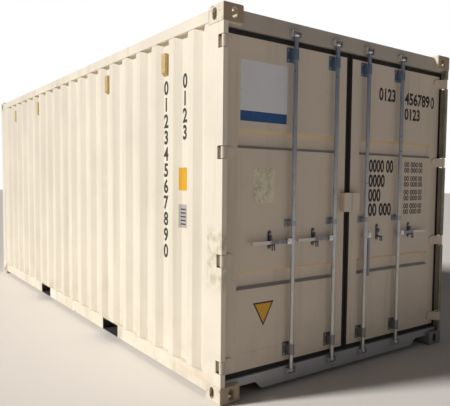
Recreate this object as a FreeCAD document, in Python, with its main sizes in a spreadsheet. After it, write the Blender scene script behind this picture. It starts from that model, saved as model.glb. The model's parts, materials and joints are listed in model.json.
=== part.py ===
"""Twenty-foot dry freight container with two lockable end doors.

The frame stands on four corner fittings at z = 0. The length runs along Y with the doors at -Y,
the width runs along X and the middle of the footprint is the origin. Every size is in the sheet.
"""
import FreeCAD, Part
import os

import Sketcher
from FreeCAD import Placement, Rotation, Vector

# name, value in millimetres (or a count), what it measures
SIZES = [
    ("overall_length", 6058, "length over the corner fittings"),
    ("overall_width", 2438, "width over the corner fittings"),
    ("overall_height", 2591, "height over the corner fittings"),
    ("fitting_length", 178, "corner fitting along the container"),
    ("fitting_width", 162, "corner fitting across the container"),
    ("fitting_height", 118, "corner fitting upright"),
    ("fitting_wall", 16, "upright walls of a corner fitting"),
    ("fitting_plate", 28, "top or bottom plate of a corner fitting"),
    ("fitting_round", 14, "rounding of a corner fitting"),
    ("aperture_length", 124.5, "oblong twistlock aperture along the container"),
    ("aperture_width", 63.5, "oblong twistlock aperture across the container"),
    ("aperture_end_inset", 102.5, "aperture centre from the end plane"),
    ("aperture_side_inset", 89.5, "aperture centre from the side plane"),
    ("eye_height", 79.5, "upright eye in the side and end of a fitting"),
    ("eye_width", 51, "width of that eye"),
    ("eye_drop", 61, "eye centre from the apertured face"),
    ("frame_inset", 3, "frame faces inside the fitting planes"),
    ("post_plate", 6, "plate of the corner posts"),
    ("post_lip", 36, "door-end lip of a rear post"),
    ("post_channel_width", 45, "inner channel of a rear post across"),
    ("post_channel_depth", 54, "inner channel of a rear post along"),
    ("front_post_face", 146, "end face of a front post"),
    ("roof_drop", 21, "rail tops below the fitting tops"),
    ("header_recess", 44, "header and sill face behind the end plane"),
    ("header_height", 114, "door header upright"),
    ("header_depth", 100, "door header along"),
    ("rail_wall", 4, "wall of the header and the top rails"),
    ("sill_top", 140, "top of the door sill"),
    ("sill_bottom", 27, "bottom of the door sill"),
    ("sill_plate", 6, "plate of the door sill"),
    ("sill_foot", 50, "lower flange of the door sill"),
    ("sill_cutout_height", 56, "cut-out beside each bottom fitting"),
    ("sill_cutout_start", 840, "cut-out from the middle plane, at the bottom"),
    ("sill_cutout_slope", 60, "run of the sloping end of the cut-out"),
    ("sill_tread", 35, "sill top behind the doors, along"),
    ("floor_top", 170, "top of the floor boards"),
    ("floor_thickness", 28, "plywood floor"),
    ("floor_side_gap", 69, "floor edge from the side plane"),
    ("bottom_rail_bottom", 42, "underside of the bottom side rails"),
    ("bottom_rail_height", 115, "bottom side rail upright"),
    ("bottom_rail_flange", 48, "bottom side rail across"),
    ("bottom_rail_sheet", 4.5, "bottom side rail plate"),
    ("bottom_rail_inset", 13, "bottom side rail face from the side plane"),
    ("top_rail_height", 75, "top side rail upright"),
    ("top_rail_width", 60, "top side rail across"),
    ("front_rail_depth", 57, "front top rail along"),
    ("front_rail_height", 97, "front top rail upright"),
    ("front_sill_flange", 50, "front bottom rail flange"),
    ("wall_inset", 5, "side wall face from the side plane"),
    ("wall_sheet", 2, "side wall sheet"),
    ("wall_depth", 36, "depth of the side corrugation"),
    ("wall_outer_flat", 71.5, "outer flat of the side corrugation"),
    ("wall_slope", 68, "run of a sloping side of the corrugation"),
    ("wall_inner_flat", 70, "inner flat of the side corrugation"),
    ("wall_start_flat", 44, "plain strip next to the rear post"),
    ("wall_first_flat", 11, "inner flat of the first, narrow recess"),
    ("front_depth", 45, "depth of the front corrugation"),
    ("front_outer_flat", 110, "outer flat of the front corrugation"),
    ("front_slope", 18, "run of a sloping side of the front corrugation"),
    ("front_inner_flat", 104, "inner flat of the front corrugation"),
    ("front_lap", 10, "front wall lapped behind the posts"),
    ("roof_sheet", 2, "roof sheet"),
    ("roof_depth", 14, "height of the roof crests"),
    ("roof_trough", 91, "trough flat of the roof"),
    ("roof_slope", 13.5, "run of a sloping side of a crest"),
    ("roof_crest", 91, "crest flat of the roof"),
    ("roof_side_gap", 34, "roof edge from the side plane"),
    ("roof_end_gap", 64, "roof edge from the end planes"),
    ("pocket_width", 350, "fork pocket along the container"),
    ("pocket_spacing", 2010, "between the fork pocket centres"),
    ("pocket_shift", 168, "pockets' middle towards the doors"),
    ("pocket_roof", 3, "plate over a fork pocket"),
    ("pocket_strap", 6, "plate under each mouth of a fork pocket"),
    ("pocket_strap_width", 200, "that plate across the container"),
    ("member_flange", 45, "flange of a floor cross member"),
    ("member_sheet", 4, "sheet of a floor cross member"),
    ("member_spacing", 290, "cross members outside the pockets"),
    ("members_between", 6, "cross member steps between the pockets"),
    ("door_recess", 64, "door face behind the end plane"),
    ("door_depth", 50, "thickness of a door leaf"),
    ("door_side_gap", 47, "leaf edge from the side plane"),
    ("door_centre_gap", 32, "leaf edge from the middle plane"),
    ("door_foot_gap", 36, "leaf above the sill top"),
    ("door_head_gap", 39, "leaf below the header"),
    ("stile_width", 112, "hinge stile of a door"),
    ("lock_stile_width", 90, "lock stile of a door"),
    ("door_rail_height", 120, "top and bottom rails of a door"),
    ("door_wall", 4, "wall of the door frame members"),
    ("panel_sheet", 2, "door panel sheet"),
    ("groove_depth", 30, "depth of the two pressed grooves"),
    ("groove_height", 124, "upright size of a groove"),
    ("groove_slope", 20, "run of a groove's sloping sides"),
    ("groove_margin", 8, "groove end from the stiles"),
    ("groove_low", 796, "centre height of the lower groove"),
    ("groove_high", 1748, "centre height of the upper groove"),
    ("seal_thickness", 12, "rubber seal along"),
    ("seal_set_back", 3, "seal behind the door face"),
    ("seal_clearance", 6, "seal to the header and the sill"),
    ("seal_side_width", 33, "seal at the hinge edge"),
    ("seal_centre_gap", 4, "seal from the middle plane"),
    ("pin_inset", 18, "hinge pin axis from the side and end planes"),
    ("pin_radius", 7, "hinge pin"),
    ("pin_clearance", 0.1, "hinge pin in its bore"),
    ("pin_head_radius", 8.5, "hinge pin head"),
    ("pin_head_height", 4, "hinge pin head"),
    ("knuckle_radius", 15, "hinge knuckle"),
    ("hinge_low", 250, "centre height of the lowest hinge"),
    ("hinge_spacing", 700, "between hinges"),
    ("hinge_count", 4, "hinges on each door"),
    ("hinge_clearance", 5, "blade to the lugs above and below"),
    ("blade_height", 76, "hinge blade upright"),
    ("blade_thickness", 12, "hinge blade on the door face"),
    ("blade_reach", 117, "hinge blade from the pin axis"),
    ("blade_knee", 62, "where the blade meets the door face plane"),
    ("lug_height", 10, "pin lug upright"),
    ("lug_size", 22, "pin lug across and along"),
    ("rod_radius", 16, "lock rod"),
    ("rod_inset", 22, "lock rod axis from the end plane"),
    ("rod_outer", 592, "outer lock rods from the middle plane"),
    ("rod_inner", 177, "inner lock rods from the middle plane"),
    ("rod_overlap", 42, "rod end past the edge of the header or sill"),
    ("rod_clearance", 0.3, "lock rod in its bearings"),
    ("cam_reach", 27, "cam lobe from the rod axis"),
    ("cam_width", 18, "cam lobe across"),
    ("cam_height", 24, "cam lobe upright"),
    ("cam_end_gap", 4, "cam from the end of the rod"),
    ("cam_clearance", 5, "cam to its keeper all round"),
    ("keeper_ear", 7, "ear of a cam keeper"),
    ("keeper_bridge", 8, "bridge of a cam keeper"),
    ("keeper_depth", 37, "cam keeper from the header face"),
    ("keeper_height", 38, "ears of a cam keeper upright"),
    ("bearing_width", 100, "base plate of a rod bearing"),
    ("bearing_plate", 5, "base plate thickness"),
    ("collar_wall", 5, "strap round the lock rod"),
    ("bearing_high", 2350, "centre height of the top rod bearings"),
    ("bearing_middle", 1172, "centre height of the middle rod bearings"),
    ("bearing_low", 262, "centre height of the bottom rod bearings"),
    ("bearing_height", 100, "top and bottom rod bearings upright"),
    ("bearing_middle_height", 50, "middle rod bearings upright"),
    ("handle_level", 1046, "height of the handle pivots"),
    ("handle_pivot", 42, "handle pivot from the rod axis"),
    ("handle_tip", 372, "handle tip from the rod axis"),
    ("handle_height", 24, "handle bar upright"),
    ("handle_thickness", 8, "handle bar thickness"),
    ("handle_gap", 1, "handle between the hub cheeks"),
    ("pivot_radius", 6, "handle pivot pin"),
    ("hub_cheek", 5, "cheek of the hub"),
    ("hub_height", 44, "hub upright"),
    ("hub_reach", 60, "hub from the rod axis"),
    ("keep_offset", 185, "handle keep from the rod axis"),
    ("keep_width", 28, "handle keep across"),
    ("keep_height", 112, "handle keep upright"),
    ("keep_plate", 5, "back plate of the handle keep"),
    ("keep_shelf", 10, "shelf under the handle"),
    ("keep_gap", 1.5, "handle above its shelf"),
    ("keep_prong", 8, "each prong of the keep across"),
    ("keep_prong_drop", 42, "prongs below the handle"),
    ("lock_box_half", 85, "lock box from the middle plane"),
    ("lock_box_bottom", 1240, "open bottom of the lock box"),
    ("lock_box_height", 145, "lock box upright"),
    ("lock_box_depth", 55, "lock box from the door face"),
    ("lock_box_sheet", 4, "lock box plate"),
    ("lock_box_gap", 3, "each half of the box from the middle plane"),
    ("plate_width", 190, "data plate across"),
    ("plate_height", 244, "data plate upright"),
    ("plate_sheet", 1.5, "data plate thickness"),
    ("plate_centre", 828, "data plate from the middle plane"),
    ("plate_level", 1440, "centre height of the data plate"),
    ("vent_width", 60, "ventilator along the wall"),
    ("vent_depth", 27, "ventilator from the recess"),
    ("vent_height", 165, "ventilator upright"),
    ("vent_drop", 85, "ventilator top below the top rail"),
    ("vent_slope", 22, "sloping foot of a ventilator"),
]

# Ventilated recesses, counted from the doors and from the closed end.
VENTS_FROM_DOORS = (2, 6)
VENTS_FROM_FRONT = (1, 5)


class Size:
    """A length that carries its number and the sheet formula it comes from."""

    def __init__(self, number, formula):
        self.number = number
        self.formula = formula

    @staticmethod
    def of(value):
        return value if isinstance(value, Size) else Size(float(value), repr(value))

    def __add__(self, other):
        other = Size.of(other)
        return Size(self.number + other.number, f"({self.formula} + {other.formula})")

    def __sub__(self, other):
        other = Size.of(other)
        return Size(self.number - other.number, f"({self.formula} - {other.formula})")

    def __mul__(self, other):
        other = Size.of(other)
        return Size(self.number * other.number, f"({self.formula} * {other.formula})")

    def __truediv__(self, other):
        other = Size.of(other)
        return Size(self.number / other.number, f"({self.formula} / {other.formula})")

    def __floordiv__(self, other):
        other = Size.of(other)
        return Size(self.number // other.number, f"floor({self.formula} / {other.formula})")

    def __neg__(self):
        return Size(-self.number, f"(0 - {self.formula})")

    __radd__ = __add__
    __rmul__ = __mul__


class Named:
    """The sheet's sizes as attributes."""


doc = FreeCAD.newDocument("container")
sheet = doc.addObject("Spreadsheet::Sheet", "Sizes")
size = Named()
for row, (alias, number, meaning) in enumerate(SIZES, start=1):
    sheet.set(f"A{row}", meaning)
    sheet.set(f"B{row}", str(number))
    sheet.setAlias(f"B{row}", alias)
    setattr(size, alias, Size(float(number), f"Sizes.{alias}"))
doc.recompute()

# ---------------------------------------------------------------- planes shared by several pieces
SIDE = size.overall_width / 2
END = size.overall_length / 2
TOP = size.overall_height
FRAME_SIDE = SIDE - size.frame_inset
FRAME_END = END - size.frame_inset
FITTING_IN = SIDE - size.fitting_width
FITTING_END = END - size.fitting_length
RAIL_TOP = TOP - size.roof_drop
HEADER_FACE = END - size.header_recess
HEADER_BOTTOM = RAIL_TOP - size.header_height
HEADER_BACK = HEADER_FACE - size.header_depth
CHANNEL_FACE = FITTING_END + size.post_channel_depth
CHANNEL_IN = FRAME_SIDE - size.post_plate - size.post_channel_width
BOTTOM_RAIL_TOP = size.bottom_rail_bottom + size.bottom_rail_height
BOTTOM_RAIL_FACE = SIDE - size.bottom_rail_inset
BOTTOM_WEB_IN = BOTTOM_RAIL_FACE - size.bottom_rail_sheet
TOP_RAIL_BOTTOM = RAIL_TOP - size.top_rail_height
WALL_FACE = SIDE - size.wall_inset
FRONT_WALL_FACE = FRAME_END - size.post_plate
FRONT_POST_EDGE = FRAME_SIDE - size.front_post_face
FLOOR_BOTTOM = size.floor_top - size.floor_thickness
DOOR_FACE = END - size.door_recess
DOOR_BACK = DOOR_FACE - size.door_depth
LEAF_OUT = SIDE - size.door_side_gap
LEAF_IN = size.door_centre_gap
LEAF_BOTTOM = size.sill_top + size.door_foot_gap
LEAF_TOP = HEADER_BOTTOM - size.door_head_gap
PANEL_OUT = LEAF_OUT - size.stile_width
PANEL_IN = LEAF_IN + size.lock_stile_width
PIN_X = SIDE - size.pin_inset
PIN_Y = END - size.pin_inset
ROD_Y = END - size.rod_inset
ROD_TOP = HEADER_BOTTOM + size.rod_overlap
ROD_BOTTOM = size.sill_top - size.rod_overlap
POCKET_MIDDLE = -size.pocket_shift


def millimetres(name):
    """The number in the sheet, for what can't take a formula."""
    return float(sheet.get(name))


# ---------------------------------------------------------------- ways to make a solid
def box(name, x, y, z):
    """A block between two planes on each axis."""
    solid = doc.addObject("Part::Box", name)
    for (low, high), length, axis in zip((x, y, z), ("Length", "Width", "Height"), "xyz"):
        low = Size.of(low)
        high = Size.of(high)
        solid.setExpression(length, (high - low).formula)
        solid.setExpression(f"Placement.Base.{axis}", low.formula)
    return solid


TURNS = {
    "x": Rotation(Vector(0, 1, 0), 90),
    "y": Rotation(Vector(1, 0, 0), -90),
    "z": Rotation(),
}


def rod(name, start, radius, length, along="z"):
    """A cylinder from its start point along one axis."""
    solid = doc.addObject("Part::Cylinder", name)
    solid.Placement = Placement(Vector(), TURNS[along])
    solid.setExpression("Radius", Size.of(radius).formula)
    solid.setExpression("Height", Size.of(length).formula)
    for value, axis in zip(start, "xyz"):
        solid.setExpression(f"Placement.Base.{axis}", Size.of(value).formula)
    return solid


def fuse(name, shapes):
    joined = doc.addObject("Part::MultiFuse", name)
    joined.Shapes = shapes
    joined.Refine = True
    return joined


def cut(name, base, tool):
    rest = doc.addObject("Part::Cut", name)
    rest.Base = base
    rest.Tool = tool
    rest.Refine = True
    return rest


def common(name, shapes):
    shared = doc.addObject("Part::MultiCommon", name)
    shared.Shapes = shapes
    shared.Refine = True
    return shared


def group(name, links):
    """Several separate solids kept as one sub-part."""
    together = doc.addObject("Part::Compound", name)
    together.Links = links
    return together


MIRRORS = {"x": Vector(1, 0, 0), "y": Vector(0, 1, 0), "z": Vector(0, 0, 1)}


def mirror(name, source, across):
    """A mirrored copy across the middle of the container."""
    copy = doc.addObject("Part::Mirroring", name)
    copy.Source = source
    copy.Normal = MIRRORS[across]
    if across == "z":
        copy.setExpression("Base.z", (TOP / 2).formula)
    return copy


def pair(name, source):
    """A piece and its mirror image on the other side."""
    return group(name, [source, mirror(name + "_mirrored", source, "x")])


def stadium(name, centre, length, width, depth, through, long_axis):
    """A slot with round ends; it starts at its centre point and runs along one axis."""
    axes = "xyz"
    half = (length - width) / 2
    low = [Size.of(value) for value in centre]
    span = []
    for axis, value in zip(axes, low):
        if axis == through:
            span.append((value, value + depth))
        elif axis == long_axis:
            span.append((value - half, value + half))
        else:
            span.append((value - width / 2, value + width / 2))
    pieces = [box(name + "_middle", *span)]
    for end, sign in (("a", -1), ("b", 1)):
        start = list(low)
        place = axes.index(long_axis)
        start[place] = start[place] + half * sign
        pieces.append(rod(name + "_" + end, start, width / 2, depth, through))
    return fuse(name, pieces)


def new_body(name, origin):
    """A part body placed at the given point."""
    body = doc.addObject("PartDesign::Body", name)
    for value, axis in zip(origin, "xyz"):
        body.setExpression(f"Placement.Base.{axis}", Size.of(value).formula)
    return body


def origin_feature(body, role):
    return next(item for item in body.Origin.OriginFeatures if item.Role == role)


def outline(body, name, plane, corners):
    """A closed sketch of straight lines, every corner held by formulas."""
    sketch = body.newObject("Sketcher::SketchObject", name)
    sketch.AttachmentSupport = [(origin_feature(body, plane), "")]
    sketch.MapMode = "FlatFace"
    corners = [(Size.of(across), Size.of(up)) for across, up in corners]
    points = [Vector(across.number, up.number, 0) for across, up in corners]
    count = len(points)
    for index in range(count):
        sketch.addGeometry(Part.LineSegment(points[index], points[(index + 1) % count]), False)
    for index in range(count):
        sketch.addConstraint(Sketcher.Constraint("Coincident", index, 2, (index + 1) % count, 1))
    for index, (across, up) in enumerate(corners):
        for kind, value, axis in (("DistanceX", across, -2), ("DistanceY", up, -1)):
            if value.number == 0:
                sketch.addConstraint(Sketcher.Constraint("PointOnObject", index, 1, axis))
                continue
            place = sketch.addConstraint(Sketcher.Constraint(kind, -1, 1, index, 1, value.number))
            sketch.setExpression(f"Constraints[{place}]", value.formula)
    return sketch


def pad(body, name, sketch, length):
    feature = body.newObject("PartDesign::Pad", name)
    feature.Profile = sketch
    feature.setExpression("Length", Size.of(length).formula)
    sketch.Visibility = False
    return feature


def repeat(body, name, feature, axis, step, count):
    """The feature again along an axis; it ends the body."""
    pattern = body.newObject("PartDesign::LinearPattern", name)
    pattern.Originals = [feature]
    pattern.Direction = (origin_feature(body, axis), [""])
    pattern.setExpression("Length", (step * (count - 1)).formula)
    pattern.setExpression("Occurrences", count.formula)
    body.Tip = pattern
    return pattern


def wave(start, flat, slope, middle, level, raised, thickness):
    """One pitch of folded sheet as (run, offset) corners: a flat, then a pressed fold."""
    runs = [start, start + flat, start + flat + slope, start + flat + slope + middle,
            start + flat + slope + middle + slope]
    offsets = [level, level, raised, raised, level]
    front = list(zip(runs, offsets))
    back = [(run, offset + thickness) for run, offset in reversed(front)]
    return front + back


def swapped(corners):
    return [(second, first) for first, second in corners]


def round_edges(name, base, radius, chosen):
    """Round the edges whose middle the test picks."""
    doc.recompute()
    picked = []
    for index, edge in enumerate(base.Shape.Edges, start=1):
        if chosen(edge.CenterOfMass):
            picked.append((index, radius, radius))
    rounded = doc.addObject("Part::Fillet", name)
    rounded.Base = base
    rounded.Edges = picked
    return rounded


# ---------------------------------------------------------------- sub-parts of the shell
def corner_fittings():
    """Hollow castings with a top or bottom aperture, a side eye and an end eye."""
    x = (-SIDE, -FITTING_IN)
    y = (-END, -FITTING_END)
    z = (TOP - size.fitting_height, TOP)
    block = box("fitting_block", x, y, z)
    outer_side = -SIDE.number + 1
    outer_end = -END.number + 1
    bottom = TOP.number - size.fitting_height.number

    def is_rounded(middle):
        on_top = middle.z > TOP.number - 1
        upright = abs(middle.z - (bottom + TOP.number) / 2) < 1
        outer_corner = middle.x < outer_side and middle.y < outer_end
        return on_top or (upright and not outer_corner)

    block = round_edges("fitting_rounded", block, millimetres("fitting_round"), is_rounded)
    hollow = box(
        "fitting_hollow",
        (-SIDE + size.fitting_wall, -FITTING_IN - size.fitting_wall),
        (-END + size.fitting_wall, -FITTING_END - size.fitting_wall),
        (TOP - size.fitting_height + size.fitting_wall, TOP - size.fitting_plate),
    )
    eye_level = TOP - size.eye_drop
    aperture_x = -SIDE + size.aperture_side_inset
    aperture_y = -END + size.aperture_end_inset
    aperture = stadium(
        "fitting_aperture",
        (aperture_x, aperture_y, TOP - size.fitting_height / 2),
        size.aperture_length, size.aperture_width, size.fitting_height, "z", "y",
    )
    side_eye = stadium(
        "fitting_side_eye", (-SIDE - size.fitting_wall, aperture_y, eye_level),
        size.eye_height, size.eye_width, size.fitting_wall * 3, "x", "z",
    )
    end_eye = stadium(
        "fitting_end_eye", (aperture_x, -END - size.fitting_wall, eye_level),
        size.eye_height, size.eye_width, size.fitting_wall * 3, "y", "z",
    )
    tools = fuse("fitting_openings", [hollow, aperture, side_eye, end_eye])
    fitting = cut("fitting", block, tools)
    row = pair("fitting_rear", fitting)
    top = group("top_corner_fittings", [row, mirror("fitting_front", row, "y")])
    bottom_set = mirror("bottom_corner_fittings", top, "z")
    return [top, bottom_set]


def hinge_levels():
    return [size.hinge_low + size.hinge_spacing * index for index in range(int(size.hinge_count.number))]


def rear_posts():
    """Folded plate with a door-end lip, an inner channel and a slot at each hinge."""
    z = (size.fitting_height, TOP - size.fitting_height)
    inner = FRAME_SIDE - size.post_plate
    side = box("rear_post_side", (-FRAME_SIDE, -inner), (-FRAME_END, -FITTING_END), z)
    lip = box(
        "rear_post_lip", (-FRAME_SIDE, -FRAME_SIDE + size.post_lip),
        (-FRAME_END, -FRAME_END + size.post_plate), z,
    )
    channel = box("rear_post_channel", (-inner, -CHANNEL_IN), (-CHANNEL_FACE, -FITTING_END), z)
    hollow = box(
        "rear_post_hollow", (-inner, -CHANNEL_IN - size.post_plate),
        (-CHANNEL_FACE + size.post_plate, -FITTING_END - size.post_plate),
        (z[0] - 1, z[1] + 1),
    )
    post = cut("rear_post_section", fuse("rear_post_plates", [side, lip, channel]), hollow)
    half = size.blade_height / 2 + size.hinge_clearance
    slots = []
    for index, level in enumerate(hinge_levels()):
        slots.append(box(
            f"hinge_slot_{index}", (-SIDE, -FRAME_SIDE + size.post_lip + 1),
            (-END, -DOOR_FACE), (level - half, level + half),
        ))
    post = cut("rear_post", post, fuse("hinge_slots", slots))
    return [pair("rear_corner_posts", post)]


def hinge_lugs_and_pins():
    """Two lugs and a headed pin for each hinge, tucked into the fold of the post."""
    inner_x = FRAME_SIDE - size.post_plate
    inner_y = FRAME_END - size.post_plate
    half = size.blade_height / 2 + size.hinge_clearance
    lugs = []
    pins = []
    for index, level in enumerate(hinge_levels()):
        for side, sign in (("low", -1), ("high", 1)):
            near = level + half * sign
            far = near + size.lug_height * sign
            z = (far, near) if sign < 0 else (near, far)
            lug = box(
                f"lug_block_{side}_{index}", (-inner_x, -inner_x + size.lug_size),
                (-inner_y, -inner_y + size.lug_size), z,
            )
            bore = rod(
                f"lug_bore_{side}_{index}", (-PIN_X, -PIN_Y, z[0] - 1),
                size.pin_radius + size.pin_clearance, size.lug_height + 2,
            )
            lugs.append(cut(f"lug_{side}_{index}", lug, bore))
        reach = half + size.lug_height
        shank = rod(f"pin_shank_{index}", (-PIN_X, -PIN_Y, level - reach), size.pin_radius, reach * 2)
        head = rod(
            f"pin_head_{index}", (-PIN_X, -PIN_Y, level + reach),
            size.pin_head_radius, size.pin_head_height,
        )
        foot = rod(
            f"pin_foot_{index}", (-PIN_X, -PIN_Y, level - reach - size.pin_head_height),
            size.pin_head_radius, size.pin_head_height,
        )
        pins.append(fuse(f"pin_{index}", [shank, head, foot]))
    return [pair("hinge_lugs", group("left_lugs", lugs)), pair("hinge_pins", group("left_pins", pins))]


def front_posts():
    """Folded corner plate with a return flange along the side wall."""
    z = (size.fitting_height, TOP - size.fitting_height)
    inner = FRAME_SIDE - size.post_plate
    side = box("front_post_side", (-FRAME_SIDE, -inner), (FITTING_END, FRAME_END), z)
    face = box("front_post_end", (-FRAME_SIDE, -FRONT_POST_EDGE), (FRONT_WALL_FACE, FRAME_END), z)
    back = box(
        "front_post_return", (-inner, -CHANNEL_IN),
        (FITTING_END, FITTING_END + size.post_plate), z,
    )
    return [pair("front_corner_posts", fuse("front_post", [side, face, back]))]


def tube(name, x, y, z, wall, along):
    """A square tube, open at both ends."""
    spans = {"x": x, "y": y, "z": z}
    inner = {}
    for axis, (low, high) in spans.items():
        low = Size.of(low)
        high = Size.of(high)
        inner[axis] = (low - 1, high + 1) if axis == along else (low + wall, high - wall)
    return cut(name, box(name + "_outside", x, y, z), box(name + "_inside", *inner.values()))


def door_header():
    """Tube between the top fittings, with strips that reach the posts below them."""
    beam = tube(
        "header_beam", (-FITTING_IN, FITTING_IN), (-HEADER_FACE, -HEADER_BACK),
        (HEADER_BOTTOM, RAIL_TOP), size.rail_wall, "x",
    )
    strips = []
    for side, x in (
        ("left", (-FRAME_SIDE + size.post_plate, -FITTING_IN)),
        ("right", (FITTING_IN, FRAME_SIDE - size.post_plate)),
    ):
        strips.append(box(
            f"header_strip_{side}", x, (-HEADER_FACE, -CHANNEL_FACE),
            (HEADER_BOTTOM, TOP - size.fitting_height),
        ))
    return [fuse("door_header", [beam] + strips)]


def door_sill():
    """Pressed sill: face, ledge under the seals, riser and tread, with the two lower cut-outs."""
    plate = size.sill_plate
    inner = FRAME_SIDE - size.post_plate
    face = box(
        "sill_face", (-FITTING_IN, FITTING_IN), (-HEADER_FACE, -HEADER_FACE + plate),
        (size.sill_bottom, size.sill_top),
    )
    wings = box(
        "sill_wings", (-inner, inner), (-HEADER_FACE, -HEADER_FACE + plate),
        (size.fitting_height, size.sill_top),
    )
    ledge = box(
        "sill_ledge", (-inner, inner), (-HEADER_FACE, -CHANNEL_FACE),
        (size.sill_top - plate, size.sill_top),
    )
    riser = box(
        "sill_riser", (-CHANNEL_IN, CHANNEL_IN), (-CHANNEL_FACE, -CHANNEL_FACE + plate),
        (size.sill_top - plate, size.floor_top),
    )
    tread = box(
        "sill_tread_plate", (-SIDE + size.floor_side_gap, SIDE - size.floor_side_gap),
        (-CHANNEL_FACE, -CHANNEL_FACE + size.sill_tread), (size.floor_top - plate, size.floor_top),
    )
    foot = box(
        "sill_foot_flange", (-size.sill_cutout_start, size.sill_cutout_start),
        (-HEADER_FACE, -HEADER_FACE + size.sill_foot), (size.sill_bottom, size.sill_bottom + plate),
    )
    whole = fuse("sill_plates", [face, wings, ledge, riser, tread, foot])
    notch = new_body("sill_notch", (size.sill_cutout_start, -HEADER_FACE + size.sill_foot + 1, size.sill_bottom))
    run = FITTING_IN - size.sill_cutout_start
    corners = [(0, 0), (size.sill_cutout_slope, size.sill_cutout_height), (run, size.sill_cutout_height), (run, 0)]
    sketch = outline(notch, "sill_notch_outline", "XZ_Plane", corners)
    pad(notch, "sill_notch_pad", sketch, size.sill_foot + 2)
    return [cut("door_sill", whole, pair("sill_notches", notch))]


def top_side_rails():
    rail = tube(
        "top_rail", (-FRAME_SIDE, -FRAME_SIDE + size.top_rail_width),
        (-FITTING_END, FITTING_END), (TOP_RAIL_BOTTOM, RAIL_TOP), size.rail_wall, "y",
    )
    return [pair("top_side_rails", rail)]


def pocket_spans():
    """The two fork pockets as spans along the container."""
    spans = []
    for sign in (-1, 1):
        middle = POCKET_MIDDLE + size.pocket_spacing / 2 * sign
        spans.append((middle - size.pocket_width / 2, middle + size.pocket_width / 2))
    return spans


def bottom_side_rails():
    """Channels open towards the floor, cut away at the fork pockets below the top flange."""
    z = (size.bottom_rail_bottom, BOTTOM_RAIL_TOP)
    x = (-BOTTOM_RAIL_FACE, -BOTTOM_RAIL_FACE + size.bottom_rail_flange)
    sheet_size = size.bottom_rail_sheet
    solid = box("bottom_rail_block", x, (-FITTING_END, FITTING_END), z)
    hollow = box(
        "bottom_rail_hollow", (x[0] + sheet_size, x[1] + 1), (-FITTING_END - 1, FITTING_END + 1),
        (z[0] + sheet_size, z[1] - sheet_size),
    )
    mouths = []
    for index, span in enumerate(pocket_spans()):
        mouths.append(box(
            f"pocket_mouth_{index}", (x[0] - 1, x[1] + 1), span, (z[0] - 1, z[1] - sheet_size),
        ))
    rail = cut("bottom_rail", solid, fuse("bottom_rail_cuts", [hollow] + mouths))
    return [pair("bottom_side_rails", rail)]


def front_rails():
    """Top tube and bottom channel of the closed end."""
    top = tube(
        "front_top_rail", (-FITTING_IN, FITTING_IN),
        (FRAME_END - size.front_rail_depth, FRAME_END),
        (RAIL_TOP - size.front_rail_height, RAIL_TOP), size.rail_wall, "x",
    )
    plate = size.sill_plate
    lap = FRONT_POST_EDGE + size.front_lap
    web = box(
        "front_sill_web", (-FITTING_IN, FITTING_IN),
        (FRONT_WALL_FACE - plate, FRONT_WALL_FACE), (size.sill_bottom, BOTTOM_RAIL_TOP),
    )
    wings = box(
        "front_sill_wings", (-lap, lap), (FRONT_WALL_FACE - plate, FRONT_WALL_FACE),
        (size.fitting_height, BOTTOM_RAIL_TOP),
    )
    flange = box(
        "front_sill_flange_plate", (-lap, lap),
        (FRONT_WALL_FACE - size.front_sill_flange, FRONT_WALL_FACE),
        (BOTTOM_RAIL_TOP - plate, BOTTOM_RAIL_TOP),
    )
    return [top, fuse("front_bottom_rail", [web, wings, flange])]


def narrow_recess_end():
    """Where the narrow first recess ends, from the start of the side wall."""
    return size.wall_start_flat + size.wall_slope * 2 + size.wall_first_flat


def wall_pitch():
    return size.wall_outer_flat + size.wall_slope * 2 + size.wall_inner_flat


def wall_recesses():
    """As many full recesses as fit after the narrow one."""
    return (FITTING_END * 2 - narrow_recess_end() - size.wall_outer_flat) // wall_pitch()


def side_walls():
    """Folded sheet: one narrow recess at the doors, then equal recesses to the front post."""
    height = TOP_RAIL_BOTTOM - BOTTOM_RAIL_TOP
    wall = new_body("left_side_wall", (-WALL_FACE, -FITTING_END, BOTTOM_RAIL_TOP))
    first = wave(
        Size.of(0), size.wall_start_flat, size.wall_slope, size.wall_first_flat,
        Size.of(0), size.wall_depth, size.wall_sheet,
    )
    pad(wall, "side_first", outline(wall, "side_first_outline", "XY_Plane", swapped(first)), height)
    fold = wave(
        narrow_recess_end(), size.wall_outer_flat, size.wall_slope, size.wall_inner_flat,
        Size.of(0), size.wall_depth, size.wall_sheet,
    )
    one = pad(wall, "side_fold", outline(wall, "side_fold_outline", "XY_Plane", swapped(fold)), height)
    repeat(wall, "side_folds", one, "Y_Axis", wall_pitch(), wall_recesses())
    start = narrow_recess_end() + wall_pitch() * wall_recesses()
    finish = FITTING_END * 2
    strip = [(0, start), (size.wall_sheet, start), (size.wall_sheet, finish), (0, finish)]
    last = pad(wall, "side_last", outline(wall, "side_last_outline", "XY_Plane", strip), height)
    wall.Tip = last
    return [wall, mirror("right_side_wall", wall, "x")]


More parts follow.
